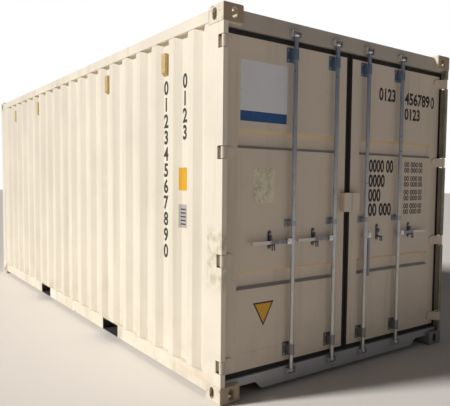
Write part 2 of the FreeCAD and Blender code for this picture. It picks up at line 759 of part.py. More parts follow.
def front_wall():
    """Deeper folded sheet of the closed end, lapped behind the front posts."""
    lap = FRONT_POST_EDGE + size.front_lap
    level = size.front_depth
    pitch = size.front_outer_flat + size.front_slope * 2 + size.front_inner_flat
    recesses = (lap * 2 - size.front_outer_flat) // pitch
    margin = (lap * 2 - pitch * recesses - size.front_outer_flat) / 2
    back = FRONT_WALL_FACE - size.front_depth - size.wall_sheet
    height = RAIL_TOP - size.front_rail_height - BOTTOM_RAIL_TOP
    wall = new_body("front_wall", (-lap, back, BOTTOM_RAIL_TOP))
    skin = level + size.wall_sheet
    strip = [(0, level), (margin, level), (margin, skin), (0, skin)]
    pad(wall, "front_first", outline(wall, "front_first_outline", "XY_Plane", strip), height)
    fold = wave(
        margin, size.front_outer_flat, size.front_slope, size.front_inner_flat,
        level, Size.of(0), size.wall_sheet,
    )
    one = pad(wall, "front_fold", outline(wall, "front_fold_outline", "XY_Plane", fold), height)
    repeat(wall, "front_folds", one, "X_Axis", pitch, recesses)
    start = margin + pitch * recesses
    finish = lap * 2
    strip = [(start, level), (finish, level), (finish, skin), (start, skin)]
    last = pad(wall, "front_last", outline(wall, "front_last_outline", "XY_Plane", strip), height)
    wall.Tip = last
    return [wall]


def roof():
    """Sheet with crests across the container, cut away round the corner fittings."""
    half_run = END - size.roof_end_gap
    half_width = SIDE - size.roof_side_gap
    pitch = size.roof_trough + size.roof_slope * 2 + size.roof_crest
    crests = (half_run * 2 - size.roof_trough) // pitch
    margin = (half_run * 2 - pitch * crests - size.roof_trough) / 2
    sheet_body = new_body("roof_sheet_body", (-half_width, -half_run, RAIL_TOP))
    width = half_width * 2
    thick = size.roof_sheet
    strip = [(0, 0), (margin, 0), (margin, thick), (0, thick)]
    pad(sheet_body, "roof_first", outline(sheet_body, "roof_first_outline", "YZ_Plane", strip), width)
    fold = wave(
        margin, size.roof_trough, size.roof_slope, size.roof_crest,
        Size.of(0), size.roof_depth, thick,
    )
    one = pad(sheet_body, "roof_fold", outline(sheet_body, "roof_fold_outline", "YZ_Plane", fold), width)
    repeat(sheet_body, "roof_folds", one, "Y_Axis", pitch, crests)
    start = margin + pitch * crests
    finish = half_run * 2
    strip = [(start, 0), (finish, 0), (finish, thick), (start, thick)]
    last = pad(sheet_body, "roof_last", outline(sheet_body, "roof_last_outline", "YZ_Plane", strip), width)
    sheet_body.Tip = last
    corner = box("roof_corner", (-SIDE, -FITTING_IN), (-END, -FITTING_END), (RAIL_TOP - 1, TOP + 1))
    rear = pair("roof_corners_rear", corner)
    corners = group("roof_corners", [rear, mirror("roof_corners_front", rear, "y")])
    return [cut("roof_panel", sheet_body, corners)]


def floor_boards():
    x = SIDE - size.floor_side_gap
    y = (-CHANNEL_FACE + size.sill_tread, FRONT_WALL_FACE - size.front_depth - size.wall_sheet - size.hinge_clearance)
    return [box("floor_boards", (-x, x), y, (FLOOR_BOTTOM, size.floor_top))]


def cross_member(name, edge, sign):
    """A channel with its web on the given plane and its flanges on the chosen side."""
    z = (size.bottom_rail_bottom + size.bottom_rail_sheet, FLOOR_BOTTOM)
    sheet_size = size.member_sheet
    reach = size.member_flange * sign
    outer = (edge, edge + reach) if sign > 0 else (edge + reach, edge)
    inner = (edge + sheet_size, edge + reach + 1) if sign > 0 else (edge + reach - 1, edge - sheet_size)
    block = box(name + "_block", (-BOTTOM_WEB_IN, BOTTOM_WEB_IN), outer, z)
    hollow = box(
        name + "_hollow", (-BOTTOM_WEB_IN - 1, BOTTOM_WEB_IN + 1), inner,
        (z[0] + sheet_size, z[1] - sheet_size),
    )
    return cut(name, block, hollow)


def cross_members():
    """Channels under the floor, with a web along each side of both fork pockets."""
    near, far = pocket_spans()
    members = []
    for place, edge, sign in (("door", near[0], -1), ("front", far[1], 1)):
        free = FITTING_END - edge * sign - size.member_flange
        for index in range(int((free // size.member_spacing).number) + 1):
            members.append(cross_member(f"member_{place}_{index}", edge + size.member_spacing * index * sign, sign))
    between = int(size.members_between.number)
    step = (far[0] - near[1]) / size.members_between
    for index in range(between):
        members.append(cross_member(f"member_middle_{index}", near[1] + step * index, 1))
    members.append(cross_member("member_middle_last", far[0], -1))
    return [group("floor_cross_members", members)]


def fork_pockets():
    """A roof plate over each pocket and a strap under each mouth."""
    plates = []
    for index, span in enumerate(pocket_spans()):
        plates.append(box(
            f"pocket_roof_{index}", (-BOTTOM_WEB_IN, BOTTOM_WEB_IN), span,
            (FLOOR_BOTTOM - size.pocket_roof, FLOOR_BOTTOM),
        ))
        strap = box(
            f"pocket_strap_{index}",
            (-BOTTOM_RAIL_FACE, -BOTTOM_RAIL_FACE + size.pocket_strap_width), span,
            (size.bottom_rail_bottom, size.bottom_rail_bottom + size.pocket_strap),
        )
        plates.append(pair(f"pocket_straps_{index}", strap))
    return [group("fork_pocket_plates", plates)]


def cam_keepers():
    """A bridge and two ears for each cam, open to the front, on the header and on the sill."""
    keepers = []
    for place, offset in (("outer", size.rod_outer), ("inner", size.rod_inner)):
        half = size.cam_reach + size.cam_clearance + 2
        outside = half + size.keeper_ear
        y = (-HEADER_FACE - size.keeper_depth, -HEADER_FACE)
        end = ROD_TOP + size.cam_clearance + 2
        ears = (end - size.keeper_height, end)
        left = box(f"ear_left_{place}", (-offset - outside, -offset - half), y, ears)
        right = box(f"ear_right_{place}", (-offset + half, -offset + outside), y, ears)
        bridge = box(
            f"bridge_{place}", (-offset - outside, -offset + outside), y,
            (end, end + size.keeper_bridge),
        )
        keepers.append(fuse(f"keeper_top_{place}", [left, right, bridge]))
    top = pair("top_cam_keepers", group("keepers_top_left", keepers))
    low = []
    for place, offset in (("outer", size.rod_outer), ("inner", size.rod_inner)):
        half = size.cam_reach + size.cam_clearance + 2
        outside = half + size.keeper_ear
        y = (-HEADER_FACE - size.keeper_depth, -HEADER_FACE)
        end = ROD_BOTTOM - size.cam_clearance - 2
        ears = (end, end + size.keeper_height)
        left = box(f"low_ear_left_{place}", (-offset - outside, -offset - half), y, ears)
        right = box(f"low_ear_right_{place}", (-offset + half, -offset + outside), y, ears)
        bridge = box(
            f"low_bridge_{place}", (-offset - outside, -offset + outside), y,
            (end - size.keeper_bridge, end),
        )
        low.append(fuse(f"keeper_bottom_{place}", [left, right, bridge]))
    bottom = pair("bottom_cam_keepers", group("keepers_bottom_left", low))
    return [top, bottom]


def ventilators():
    """Covers with a sloping foot, set in four recesses of each side wall."""
    depth = size.vent_depth
    back = WALL_FACE - size.wall_depth
    top = TOP_RAIL_BOTTOM - size.vent_drop
    covers = []
    numbers = VENTS_FROM_DOORS + tuple(int(wall_recesses().number) - back for back in VENTS_FROM_FRONT)
    for recess in numbers:
        fold = narrow_recess_end() + wall_pitch() * (recess - 1)
        middle = -FITTING_END + fold + size.wall_outer_flat + size.wall_slope + size.wall_inner_flat / 2
        cover = new_body(f"vent_{recess}", (-back - depth, middle + size.vent_width / 2, top - size.vent_height))
        corners = [(0, size.vent_slope), (0, size.vent_height), (depth, size.vent_height), (depth, 0)]
        sketch = outline(cover, f"vent_outline_{recess}", "XZ_Plane", corners)
        pad(cover, f"vent_pad_{recess}", sketch, size.vent_width)
        covers.append(cover)
    return [pair("ventilators", group("vents_left", covers))]


# ---------------------------------------------------------------- sub-parts of a door
def door_frame():
    """Tube stiles with channel rails between them."""
    y = (-DOOR_FACE, -DOOR_BACK)
    z = (LEAF_BOTTOM, LEAF_TOP)
    wall = size.door_wall
    hinge_stile = tube("hinge_stile", (-LEAF_OUT, -PANEL_OUT), y, z, wall, "z")
    lock_stile = tube("lock_stile", (-PANEL_IN, -LEAF_IN), y, z, wall, "z")
    rails = []
    for place, low in (("foot", LEAF_BOTTOM), ("head", LEAF_TOP - size.door_rail_height)):
        high = low + size.door_rail_height
        block = box(f"rail_block_{place}", (-PANEL_OUT, -PANEL_IN), y, (low, high))
        hollow = box(
            f"rail_hollow_{place}", (-PANEL_OUT, -PANEL_IN), (y[0] + wall, y[1] + 1),
            (low + wall, high - wall),
        )
        rails.append(cut(f"rail_{place}", block, hollow))
    return fuse("left_door_frame", [hinge_stile, lock_stile] + rails)


def groove(name, level, grow):
    """The tapered hollow of a groove; grow is the sheet thickness for its outside."""
    wedge = doc.addObject("Part::Wedge", name)
    x = (-PANEL_OUT + size.groove_margin - grow, -PANEL_IN - size.groove_margin + grow)
    z = (level - size.groove_height / 2 - grow, level + size.groove_height / 2 + grow)
    slope = size.groove_slope
    values = {
        "Xmin": x[0], "Xmax": x[1], "X2min": x[0] + slope, "X2max": x[1] - slope,
        "Zmin": z[0], "Zmax": z[1], "Z2min": z[0] + slope, "Z2max": z[1] - slope,
        "Ymin": -DOOR_FACE, "Ymax": -DOOR_FACE + size.groove_depth + grow,
    }
    for prop, value in values.items():
        setattr(wedge, prop, value.number)
    for prop, value in values.items():
        wedge.setExpression(prop, value.formula)
    return wedge


def door_panel():
    """Flush sheet with two long pressed grooves."""
    sheet_box = box(
        "panel_sheet_plate", (-PANEL_OUT, -PANEL_IN), (-DOOR_FACE, -DOOR_FACE + size.panel_sheet),
        (LEAF_BOTTOM + size.door_rail_height, LEAF_TOP - size.door_rail_height),
    )
    levels = (("low", size.groove_low), ("high", size.groove_high))
    outsides = [groove(f"groove_outside_{place}", level, size.panel_sheet) for place, level in levels]
    insides = [groove(f"groove_inside_{place}", level, Size.of(0)) for place, level in levels]
    return cut("left_door_panel", fuse("panel_pressed", [sheet_box] + outsides), group("panel_hollows", insides))


def door_seal():
    """Rubber frame round the leaf."""
    y = (-DOOR_FACE + size.seal_set_back, -DOOR_FACE + size.seal_set_back + size.seal_thickness)
    z = (size.sill_top + size.seal_clearance, HEADER_BOTTOM - size.seal_clearance)
    outside = box("seal_outside", (-LEAF_OUT - size.seal_side_width, -size.seal_centre_gap), y, z)
    inside = box("seal_inside", (-LEAF_OUT, -LEAF_IN), (y[0] - 1, y[1] + 1), (LEAF_BOTTOM, LEAF_TOP))
    return cut("left_door_seal", outside, inside)


def blade_shape(name, level):
    """What a blade keeps when its end on the door is rounded."""
    half = size.blade_height / 2
    y = (-PIN_Y - size.knuckle_radius, -DOOR_FACE)
    end = -PIN_X + size.blade_reach - half
    strip = box(name + "_strip", (-PIN_X - size.knuckle_radius, end), y, (level - half, level + half))
    return fuse(name, [strip, rod(name + "_round", (end, y[0], level), half, y[1] - y[0], "y")])


def hinge_blades():
    """A blade from each pin, cranked back to the recessed door face."""
    face = PIN_Y - DOOR_FACE
    front = face - size.blade_thickness
    reach = size.blade_reach
    half = size.blade_height / 2
    blades = []
    for index, level in enumerate(hinge_levels()):
        arm = new_body(f"blade_arm_{index}", (-PIN_X, -PIN_Y, level - half))
        corners = [
            (size.knuckle_radius * 0.4, -size.knuckle_radius * 0.9), (size.blade_knee, front),
            (reach, front), (reach, face), (LEAF_EDGE_FROM_PIN, face),
            (-size.knuckle_radius * 0.55, size.knuckle_radius * 0.82),
        ]
        pad(arm, f"blade_pad_{index}", outline(arm, f"blade_outline_{index}", "XY_Plane", corners), half * 2)
        knuckle = rod(f"knuckle_{index}", (-PIN_X, -PIN_Y, level - half), size.knuckle_radius, half * 2)
        bore = rod(
            f"knuckle_bore_{index}", (-PIN_X, -PIN_Y, level - half - 1),
            size.pin_radius + size.pin_clearance, half * 2 + 2,
        )
        rounded = common(f"blade_rounded_{index}", [arm, blade_shape(f"blade_shape_{index}", level)])
        blades.append(cut(f"blade_{index}", fuse(f"blade_body_{index}", [rounded, knuckle]), bore))
    return group("left_door_hinge_blades", blades)


LEAF_EDGE_FROM_PIN = PIN_X - LEAF_OUT


def rod_bearing(name, offset, level, height):
    """Base plate on the door and a strap round the lock rod."""
    z = (level - height / 2, level + height / 2)
    outer = size.rod_radius + size.collar_wall
    plate = box(
        name + "_plate", (-offset - size.bearing_width / 2, -offset + size.bearing_width / 2),
        (-DOOR_FACE - size.bearing_plate, -DOOR_FACE), z,
    )
    inset = height / 8
    strap_z = (z[0] + inset, z[1] - inset)
    block = box(name + "_block", (-offset - outer, -offset + outer), (-ROD_Y, -DOOR_FACE - size.bearing_plate), strap_z)
    strap = rod(name + "_strap", (-offset, -ROD_Y, strap_z[0]), outer, height - inset * 2)
    bore = rod(name + "_bore", (-offset, -ROD_Y, z[0] - 1), size.rod_radius + size.rod_clearance, height + 2)
    return cut(name, fuse(name + "_body", [plate, block, strap]), bore)


def rod_bearings():
    bearings = []
    for place, offset in (("outer", size.rod_outer), ("inner", size.rod_inner)):
        for spot, level, height in (
            ("high", size.bearing_high, size.bearing_height),
            ("middle", size.bearing_middle, size.bearing_middle_height),
            ("low", size.bearing_low, size.bearing_height),
        ):
            bearings.append(rod_bearing(f"bearing_{place}_{spot}", offset, level, height))
    return group("left_door_rod_bearings", bearings)


def handle_keeps():
    """Back plate behind each handle with a shelf and two prongs below it."""
    keeps = []
    shelf_top = size.handle_level - size.handle_height / 2 - size.keep_gap
    front = ROD_Y + size.handle_thickness / 2 + size.hub_cheek
    for place, offset in (("outer", size.rod_outer), ("inner", size.rod_inner)):
        x = (-offset - size.keep_offset - size.keep_width / 2, -offset - size.keep_offset + size.keep_width / 2)
        middle = size.handle_level + size.handle_height / 2
        plate = box(
            f"keep_plate_{place}", x, (-DOOR_FACE - size.keep_plate, -DOOR_FACE),
            (middle - size.keep_height / 2, middle + size.keep_height / 2),
        )
        shelf = box(
            f"keep_shelf_{place}", x, (-front, -DOOR_FACE), (shelf_top - size.keep_shelf, shelf_top),
        )
        prongs = []
        for side, low in (("a", x[0]), ("b", x[1] - size.keep_prong)):
            prongs.append(box(
                f"keep_prong_{side}_{place}", (low, low + size.keep_prong),
                (-front, -front + size.keep_plate),
                (shelf_top - size.keep_prong_drop, shelf_top),
            ))
        keeps.append(fuse(f"keep_{place}", [plate, shelf] + prongs))
    return group("left_door_handle_keeps", keeps)


def lock_box():
    """Half of the lock box: top, front and outer side, open below and towards the other door."""
    x = (-size.lock_box_half, -size.lock_box_gap)
    z = (size.lock_box_bottom, size.lock_box_bottom + size.lock_box_height)
    y = (-DOOR_FACE - size.lock_box_depth, -DOOR_FACE)
    wall = size.lock_box_sheet
    outside = box("lock_box_outside", x, y, z)
    inside = box("lock_box_inside", (x[0] + wall, x[1] + 1), (y[0] + wall, y[1] + 1), (z[0] - 1, z[1] - wall))
    return cut("left_door_lock_box", outside, inside)


def data_plate():
    half = size.plate_width / 2
    return box(
        "left_door_data_plate", (-size.plate_centre - half, -size.plate_centre + half),
        (-DOOR_FACE - size.plate_sheet, -DOOR_FACE),
        (size.plate_level - size.plate_height / 2, size.plate_level + size.plate_height / 2),
    )


def doors():
    """Both leaves: the right one mirrors the left one, without the data plate."""
    pieces = []
    for source in (door_frame(), door_panel(), door_seal(), hinge_blades(), rod_bearings(), handle_keeps(), lock_box()):
        pieces.append(source)
        pieces.append(mirror(source.Name.replace("left", "right"), source, "x"))
    pieces.append(data_plate())
    return pieces


# ---------------------------------------------------------------- locking gear
def lock_rod(name, offset):
    """Tube-sized bar with a cam lobe at each end and a forked hub for the handle."""
    bar = rod(name + "_bar", (-offset, -ROD_Y, ROD_BOTTOM), size.rod_radius, ROD_TOP - ROD_BOTTOM)
    y = (-ROD_Y - size.cam_width / 2, -ROD_Y + size.cam_width / 2)
    pieces = [bar]
    for place, low in (
        ("foot", ROD_BOTTOM + size.cam_end_gap),
        ("head", ROD_TOP - size.cam_end_gap - size.cam_height),
    ):
        pieces.append(box(f"{name}_cam_{place}", (-offset - size.cam_reach, -offset), y, (low, low + size.cam_height)))
    x = (-offset - size.hub_reach, -offset)
    z = (size.handle_level - size.hub_height / 2, size.handle_level + size.hub_height / 2)
    inner = size.handle_thickness / 2 + size.handle_gap
    outer = inner + size.hub_cheek
    pieces.append(box(f"{name}_cheek_front", x, (-ROD_Y - outer, -ROD_Y - inner), z))
    pieces.append(box(f"{name}_cheek_back", x, (-ROD_Y + inner, -ROD_Y + outer), z))
    pieces.append(rod(
        f"{name}_pivot", (-offset - size.handle_pivot, -ROD_Y - outer, size.handle_level),
        size.pivot_radius, outer * 2, "y",
    ))
    return fuse(name, pieces)


def lock_rods():
    outer = lock_rod("lock_rod_outer_left", size.rod_outer)
    inner = lock_rod("lock_rod_inner_left", size.rod_inner)
    return [
        outer, inner,
        mirror("lock_rod_inner_right", inner, "x"),
        mirror("lock_rod_outer_right", outer, "x"),
    ]


def handle_bore(name, pivot_x, y):
    return rod(
        name, (pivot_x, y[0] - 1, size.handle_level),
        size.pivot_radius + size.pin_clearance, size.handle_thickness + 2, "y",
    )


def level_handle(name, offset):
    """A flat bar with round ends, lying level in its keep."""
    y = (-ROD_Y - size.handle_thickness / 2, -ROD_Y + size.handle_thickness / 2)
    half = size.handle_height / 2
    pivot_x = -offset - size.handle_pivot
    tip_x = -offset - size.handle_tip + half
    bar = box(name + "_bar", (tip_x, pivot_x), y, (size.handle_level - half, size.handle_level + half))
    near = rod(name + "_near", (pivot_x, y[0], size.handle_level), half, size.handle_thickness, "y")
    far = rod(name + "_far", (tip_x, y[0], size.handle_level), half, size.handle_thickness, "y")
    return cut(name, fuse(name + "_body", [bar, near, far]), handle_bore(name + "_bore", pivot_x, y))


def hanging_handle(name, offset):
    """The same bar on the right door's inner rod, hanging from its pivot."""
    y = (-ROD_Y - size.handle_thickness / 2, -ROD_Y + size.handle_thickness / 2)
    half = size.handle_height / 2
    pivot_x = offset + size.handle_pivot
    tip_z = size.handle_level - size.handle_tip + size.handle_pivot + half
    bar = box(name + "_bar", (pivot_x - half, pivot_x + half), y, (tip_z, size.handle_level))
    near = rod(name + "_near", (pivot_x, y[0], size.handle_level), half, size.handle_thickness, "y")
    far = rod(name + "_far", (pivot_x, y[0], tip_z), half, size.handle_thickness, "y")
    return cut(name, fuse(name + "_body", [bar, near, far]), handle_bore(name + "_bore", pivot_x, y))


def handles():
    outer = level_handle("handle_outer_left", size.rod_outer)
    inner = level_handle("handle_inner_left", size.rod_inner)
    return [
        outer, inner,
        hanging_handle("handle_inner_right", size.rod_inner),
        mirror("handle_outer_right", outer, "x"),
    ]


# ---------------------------------------------------------------- build, check and write
def check_and_write(parts):
    doc.recompute()
    failed = [item.Name for item in doc.Objects if "Invalid" in item.State or "Error" in item.State]
    if failed:
        raise RuntimeError(f"objects left failed: {failed}")
    for part in parts:
        part.Label = part.Name
        if part.Shape.isNull() or not part.Shape.isValid():
            raise RuntimeError(f"bad shape: {part.Name}")
    os.makedirs("parts", exist_ok=True)
    for part in parts:
        part.Shape.exportStep(os.path.join("parts", part.Name + ".step"))
        print(f"{part.Name:28s} {len(part.Shape.Solids):3d} solids {part.Shape.Volume / 1e6:10.3f} litres")


parts = []
for maker in (
    corner_fittings, rear_posts, hinge_lugs_and_pins, front_posts, door_header, door_sill,
    top_side_rails, bottom_side_rails, front_rails, side_walls, front_wall, roof, floor_boards,
    cross_members, fork_pockets, cam_keepers, ventilators, doors, lock_rods, handles,
):
    parts += maker()
check_and_write(parts)
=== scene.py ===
"""Paint, markings, fasteners and light for the freight container."""
import json
import math
import random

import bmesh
import bpy
from mathutils import Euler, Matrix, Vector
from mathutils.bvhtree import BVHTree


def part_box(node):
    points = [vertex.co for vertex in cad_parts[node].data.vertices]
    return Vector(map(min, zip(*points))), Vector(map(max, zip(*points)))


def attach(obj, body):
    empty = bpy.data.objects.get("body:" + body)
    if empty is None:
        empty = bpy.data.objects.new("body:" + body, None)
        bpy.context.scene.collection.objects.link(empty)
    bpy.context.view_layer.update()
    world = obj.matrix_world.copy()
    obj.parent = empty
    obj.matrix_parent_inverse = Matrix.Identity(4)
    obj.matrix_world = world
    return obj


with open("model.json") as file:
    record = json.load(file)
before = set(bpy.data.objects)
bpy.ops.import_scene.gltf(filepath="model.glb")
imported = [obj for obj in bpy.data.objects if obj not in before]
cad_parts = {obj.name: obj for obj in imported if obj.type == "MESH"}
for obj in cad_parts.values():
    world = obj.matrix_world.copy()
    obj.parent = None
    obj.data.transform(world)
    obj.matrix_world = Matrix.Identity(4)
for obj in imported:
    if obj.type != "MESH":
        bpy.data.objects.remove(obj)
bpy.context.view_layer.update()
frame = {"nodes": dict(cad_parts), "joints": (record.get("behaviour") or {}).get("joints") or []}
nodes = frame["nodes"]
joints = {joint["name"]: joint for joint in frame["joints"]}
random.seed(7)
MM = 0.001
DOOR_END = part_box("bottom_corner_fittings")[0].y

# ---------------------------------------------------------------- finishes


class Finish:
    """A Principled material with a few short ways to add procedural detail."""

    def __init__(self, name, color, rough, metallic=0.0):
        self.material = bpy.data.materials.new(name)
        self.material.use_nodes = True
        self.tree = self.material.node_tree
        self.shader = self.tree.nodes["Principled BSDF"]
        self.shader.inputs["Base Color"].default_value = (*color, 1.0)
        self.shader.inputs["Roughness"].default_value = rough
        self.shader.inputs["Metallic"].default_value = metallic
        self.coords = self.tree.nodes.new("ShaderNodeTexCoord").outputs["Object"]

    def node(self, kind, **settings):
        made = self.tree.nodes.new(kind)
        for key, value in settings.items():
            setattr(made, key, value)
        return made

    def link(self, source, target):
        self.tree.links.new(source, target)

    def stretched(self, scale):
        """Object coordinates stretched per axis."""
        mapping = self.node("ShaderNodeMapping")
        mapping.inputs["Scale"].default_value = scale
        self.link(self.coords, mapping.inputs["Vector"])
        return mapping.outputs["Vector"]

    def noise(self, scale, detail=4.0, rough=0.55, stretch=(1, 1, 1)):
        noise = self.node("ShaderNodeTexNoise")
        noise.inputs["Scale"].default_value = scale
        noise.inputs["Detail"].default_value = detail
        noise.inputs["Roughness"].default_value = rough
        self.link(self.stretched(stretch), noise.inputs["Vector"])
        return noise.outputs["Fac"]

    def ramp(self, value, low, high, start=0.0, end=1.0):
        """The value remapped so that low to high gives start to end, held outside."""
        remap = self.node("ShaderNodeMapRange")
        for name, number in (("From Min", low), ("From Max", high), ("To Min", start), ("To Max", end)):
            remap.inputs[name].default_value = number
        self.link(value, remap.inputs["Value"])
        return remap.outputs["Result"]

    def times(self, first, second):
        product = self.node("ShaderNodeMath", operation="MULTIPLY")
        for place, value in enumerate((first, second)):
            if isinstance(value, (int, float)):
                product.inputs[place].default_value = value
            else:
                self.link(value, product.inputs[place])
        return product.outputs["Value"]

    def axis(self, name):
        split = self.node("ShaderNodeSeparateXYZ")
        self.link(self.coords, split.inputs["Vector"])
        return split.outputs[name]

    def outward(self):
        """One on faces turned towards the doors' outer side."""
        split = self.node("ShaderNodeSeparateXYZ")
        self.link(self.node("ShaderNodeTexCoord").outputs["Normal"], split.inputs["Vector"])
        return self.ramp(split.outputs["Y"], -0.05, -0.15)

    def between(self, name, low, high, soft):
        """One inside a band of one axis, fading over soft at both ends."""
        value = self.axis(name)
        rise = self.ramp(value, low - soft, low + soft)
        fall = self.ramp(value, high - soft, high + soft, 1.0, 0.0)
        return self.times(rise, fall)

    def tint(self, mask, color):
        """Lay another colour over the base where the mask is one."""
        mix = self.node("ShaderNodeMix", data_type="RGBA")
        socket = self.shader.inputs["Base Color"]
        if socket.is_linked:
            self.link(socket.links[0].from_socket, mix.inputs["A"])
        else:
            mix.inputs["A"].default_value = socket.default_value
        mix.inputs["B"].default_value = (*color, 1.0)
        self.link(mask, mix.inputs["Factor"])
        self.link(mix.outputs["Result"], socket)
        return self

    def roughen(self, value, low, high):
        self.link(self.ramp(value, 0.3, 0.7, low, high), self.shader.inputs["Roughness"])
        return self

    def bump(self, height, strength, distance):
        bump = self.node("ShaderNodeBump")
        bump.inputs["Strength"].default_value = strength
        bump.inputs["Distance"].default_value = distance
        self.link(height, bump.inputs["Height"])
        if self.shader.inputs["Normal"].is_linked:
            self.link(self.shader.inputs["Normal"].links[0].from_socket, bump.inputs["Normal"])
        self.link(bump.outputs["Normal"], self.shader.inputs["Normal"])
        return self


CREAM = (0.80, 0.725, 0.585)
# The doors' cream is darker and pinker than the walls': painted shade of the door end.
SHADED_DOOR_CREAM = (0.74, 0.635, 0.52)
RUST = (0.30, 0.12, 0.045)
GRIME_HEIGHT = 0.55


def weathered_paint(name, color, stain=(0.42, 0.33, 0.22), rough=0.5, streaks=0.35, grain=0.25):
    """Rolled paint on steel: faint chalking, rain streaks, grime near the ground and a few rust specks."""
    paint = Finish(name, color, rough)
    chalk = paint.noise(1.3, 5.0)
    paler = tuple(min(1.0, channel * 1.08) for channel in color)
    darker = tuple(channel * 0.93 for channel in color)
    paint.tint(paint.ramp(chalk, 0.45, 0.7, 0.0, 0.8), paler)
    paint.tint(paint.ramp(paint.noise(3.1, 4.0), 0.52, 0.75, 0.0, 0.6), darker)
    rain = paint.noise(9.0, 3.0, 0.5, (1.0, 1.0, 0.06))
    paint.tint(paint.ramp(rain, 0.56, 0.78, 0.0, streaks), stain)
    low = paint.ramp(paint.axis("Z"), 0.0, GRIME_HEIGHT, 1.0, 0.0)
    grime = paint.times(low, paint.ramp(paint.noise(6.0, 6.0), 0.45, 0.75, 0.0, 0.45))
    paint.tint(grime, stain)
    rust = paint.ramp(paint.noise(34.0, 5.0, 0.65), 0.70, 0.76)
    paint.tint(paint.times(rust, 0.75), RUST)
    paint.roughen(chalk, rough - 0.08, rough + 0.14)
    paint.bump(paint.noise(420.0, 2.0), grain, 0.0006)
    paint.bump(paint.noise(2.4, 2.0), 0.12, 0.012)
    return paint


shell_paint = weathered_paint("cream_shell_paint", CREAM)
wall_paint = weathered_paint("cream_wall_paint", CREAM, streaks=0.2)
door_paint = weathered_paint("cream_door_paint", SHADED_DOOR_CREAM, streaks=0.3)

# The slopes of the two pressed recesses, on the outer side only: painted shade with a cool sky tint on the lower
# slope, painted warm light from the floor on the upper one.
RECESS_FEET = (0.734, 1.686)
SLOPE_RISE = 0.020
UPPER_SLOPE = 0.104
panel_paint = weathered_paint("cream_door_panel_paint", SHADED_DOOR_CREAM, streaks=0.3)
outer_side = panel_paint.outward()
for foot in RECESS_FEET:
    for start, color in ((foot, (0.37, 0.37, 0.39)), (foot + UPPER_SLOPE, (0.74, 0.57, 0.34))):
        painted_slope_light = panel_paint.between("Z", start, start + SLOPE_RISE, 0.003)
        panel_paint.tint(panel_paint.times(painted_slope_light, outer_side), color)

# Castings: rust blotches, faces at the door end darkened as painted shade, and one greyed bottom corner on the
# right.
casting_paint = weathered_paint("cream_casting_paint", (0.76, 0.68, 0.54), streaks=0.4, grain=0.6)
casting_paint.bump(casting_paint.noise(95.0, 4.0, 0.6), 0.55, 0.003)
blotches = casting_paint.ramp(casting_paint.noise(17.0, 6.0, 0.7), 0.58, 0.68)
casting_paint.tint(casting_paint.times(blotches, 0.8), (0.33, 0.15, 0.07))
painted_end_shade = casting_paint.ramp(casting_paint.axis("Y"), DOOR_END + 9 * MM, DOOR_END + 1 * MM)
casting_paint.tint(casting_paint.times(painted_end_shade, 0.9), (0.39, 0.29, 0.195))
greyed = casting_paint.times(
    casting_paint.ramp(casting_paint.axis("X"), 1.00, 1.04),
    casting_paint.ramp(casting_paint.axis("Z"), 0.20, 0.14),
)
greyed = casting_paint.times(greyed, casting_paint.ramp(casting_paint.axis("Y"), -2.70, -2.80))
casting_paint.tint(greyed, (0.30, 0.29, 0.28))

# The header gets a darker cream than the doors: painted shade.
shaded_header_paint = weathered_paint("cream_header_painted_shade", (0.50, 0.445, 0.38), streaks=0.3)
roof_paint = weathered_paint("cream_roof_paint", (0.72, 0.66, 0.54), streaks=0.0, stain=(0.40, 0.34, 0.27))
roof_paint.tint(roof_paint.ramp(roof_paint.noise(1.7, 6.0, 0.7), 0.5, 0.75, 0.0, 0.5), (0.44, 0.37, 0.28))
sill_paint = weathered_paint("dark_grey_sill_paint", (0.46, 0.465, 0.47), (0.40, 0.39, 0.37), streaks=0.5)
under_paint = weathered_paint("dark_underframe_paint", (0.05, 0.05, 0.052), (0.16, 0.12, 0.09), streaks=0.2)
under_paint.tint(under_paint.ramp(under_paint.noise(5.0, 6.0, 0.7), 0.52, 0.72, 0.0, 0.7), (0.17, 0.09, 0.05))

# Both door posts carry old olive dirt half way up, and the right one is darkened at its door end.
post_paint = weathered_paint("cream_post_paint", CREAM)
dirt = post_paint.times(
    post_paint.between("Z", 0.78, 1.14, 0.05), post_paint.ramp(post_paint.noise(14.0, 5.0), 0.42, 0.62)
)
post_paint.tint(post_paint.times(dirt, 0.55), (0.40, 0.34, 0.17))
shaded = post_paint.times(
    post_paint.ramp(post_paint.axis("X"), 1.10, 1.15), post_paint.ramp(post_paint.axis("Y"), -2.90, -3.00)
)
mottle = post_paint.ramp(post_paint.noise(5.0, 5.0), 0.3, 0.6, 0.75, 1.0)
post_paint.tint(post_paint.times(shaded, mottle), (0.25, 0.225, 0.165))
# Darker paint for the hinge fillers: dirt, and painted shade inside the post's slots.
slot_dirt_and_shade_paint = weathered_paint("slot_dirt_and_painted_shade", (0.46, 0.40, 0.29), streaks=0.5)

# The bottom rails: a rusty scrape beside the doors and rust along the foot.
rail_paint = weathered_paint("cream_rail_paint", CREAM, streaks=0.4)
scrape = rail_paint.times(
    rail_paint.between("Y", -2.85, -2.46, 0.03), rail_paint.between("Z", 0.103, 0.124, 0.006)
)
drag = rail_paint.ramp(rail_paint.noise(7.0, 4.0, 0.5, (1, 1, 4)), 0.35, 0.65, 0.25, 1.0)
rail_paint.tint(rail_paint.times(rail_paint.times(scrape, drag), 0.75), (0.78, 0.50, 0.28))
foot_rust = rail_paint.times(
    rail_paint.ramp(rail_paint.noise(11.0, 6.0, 0.7), 0.6, 0.7), rail_paint.between("Z", 0.0, 0.08, 0.02)
)
rail_paint.tint(foot_rust, (0.34, 0.17, 0.08))


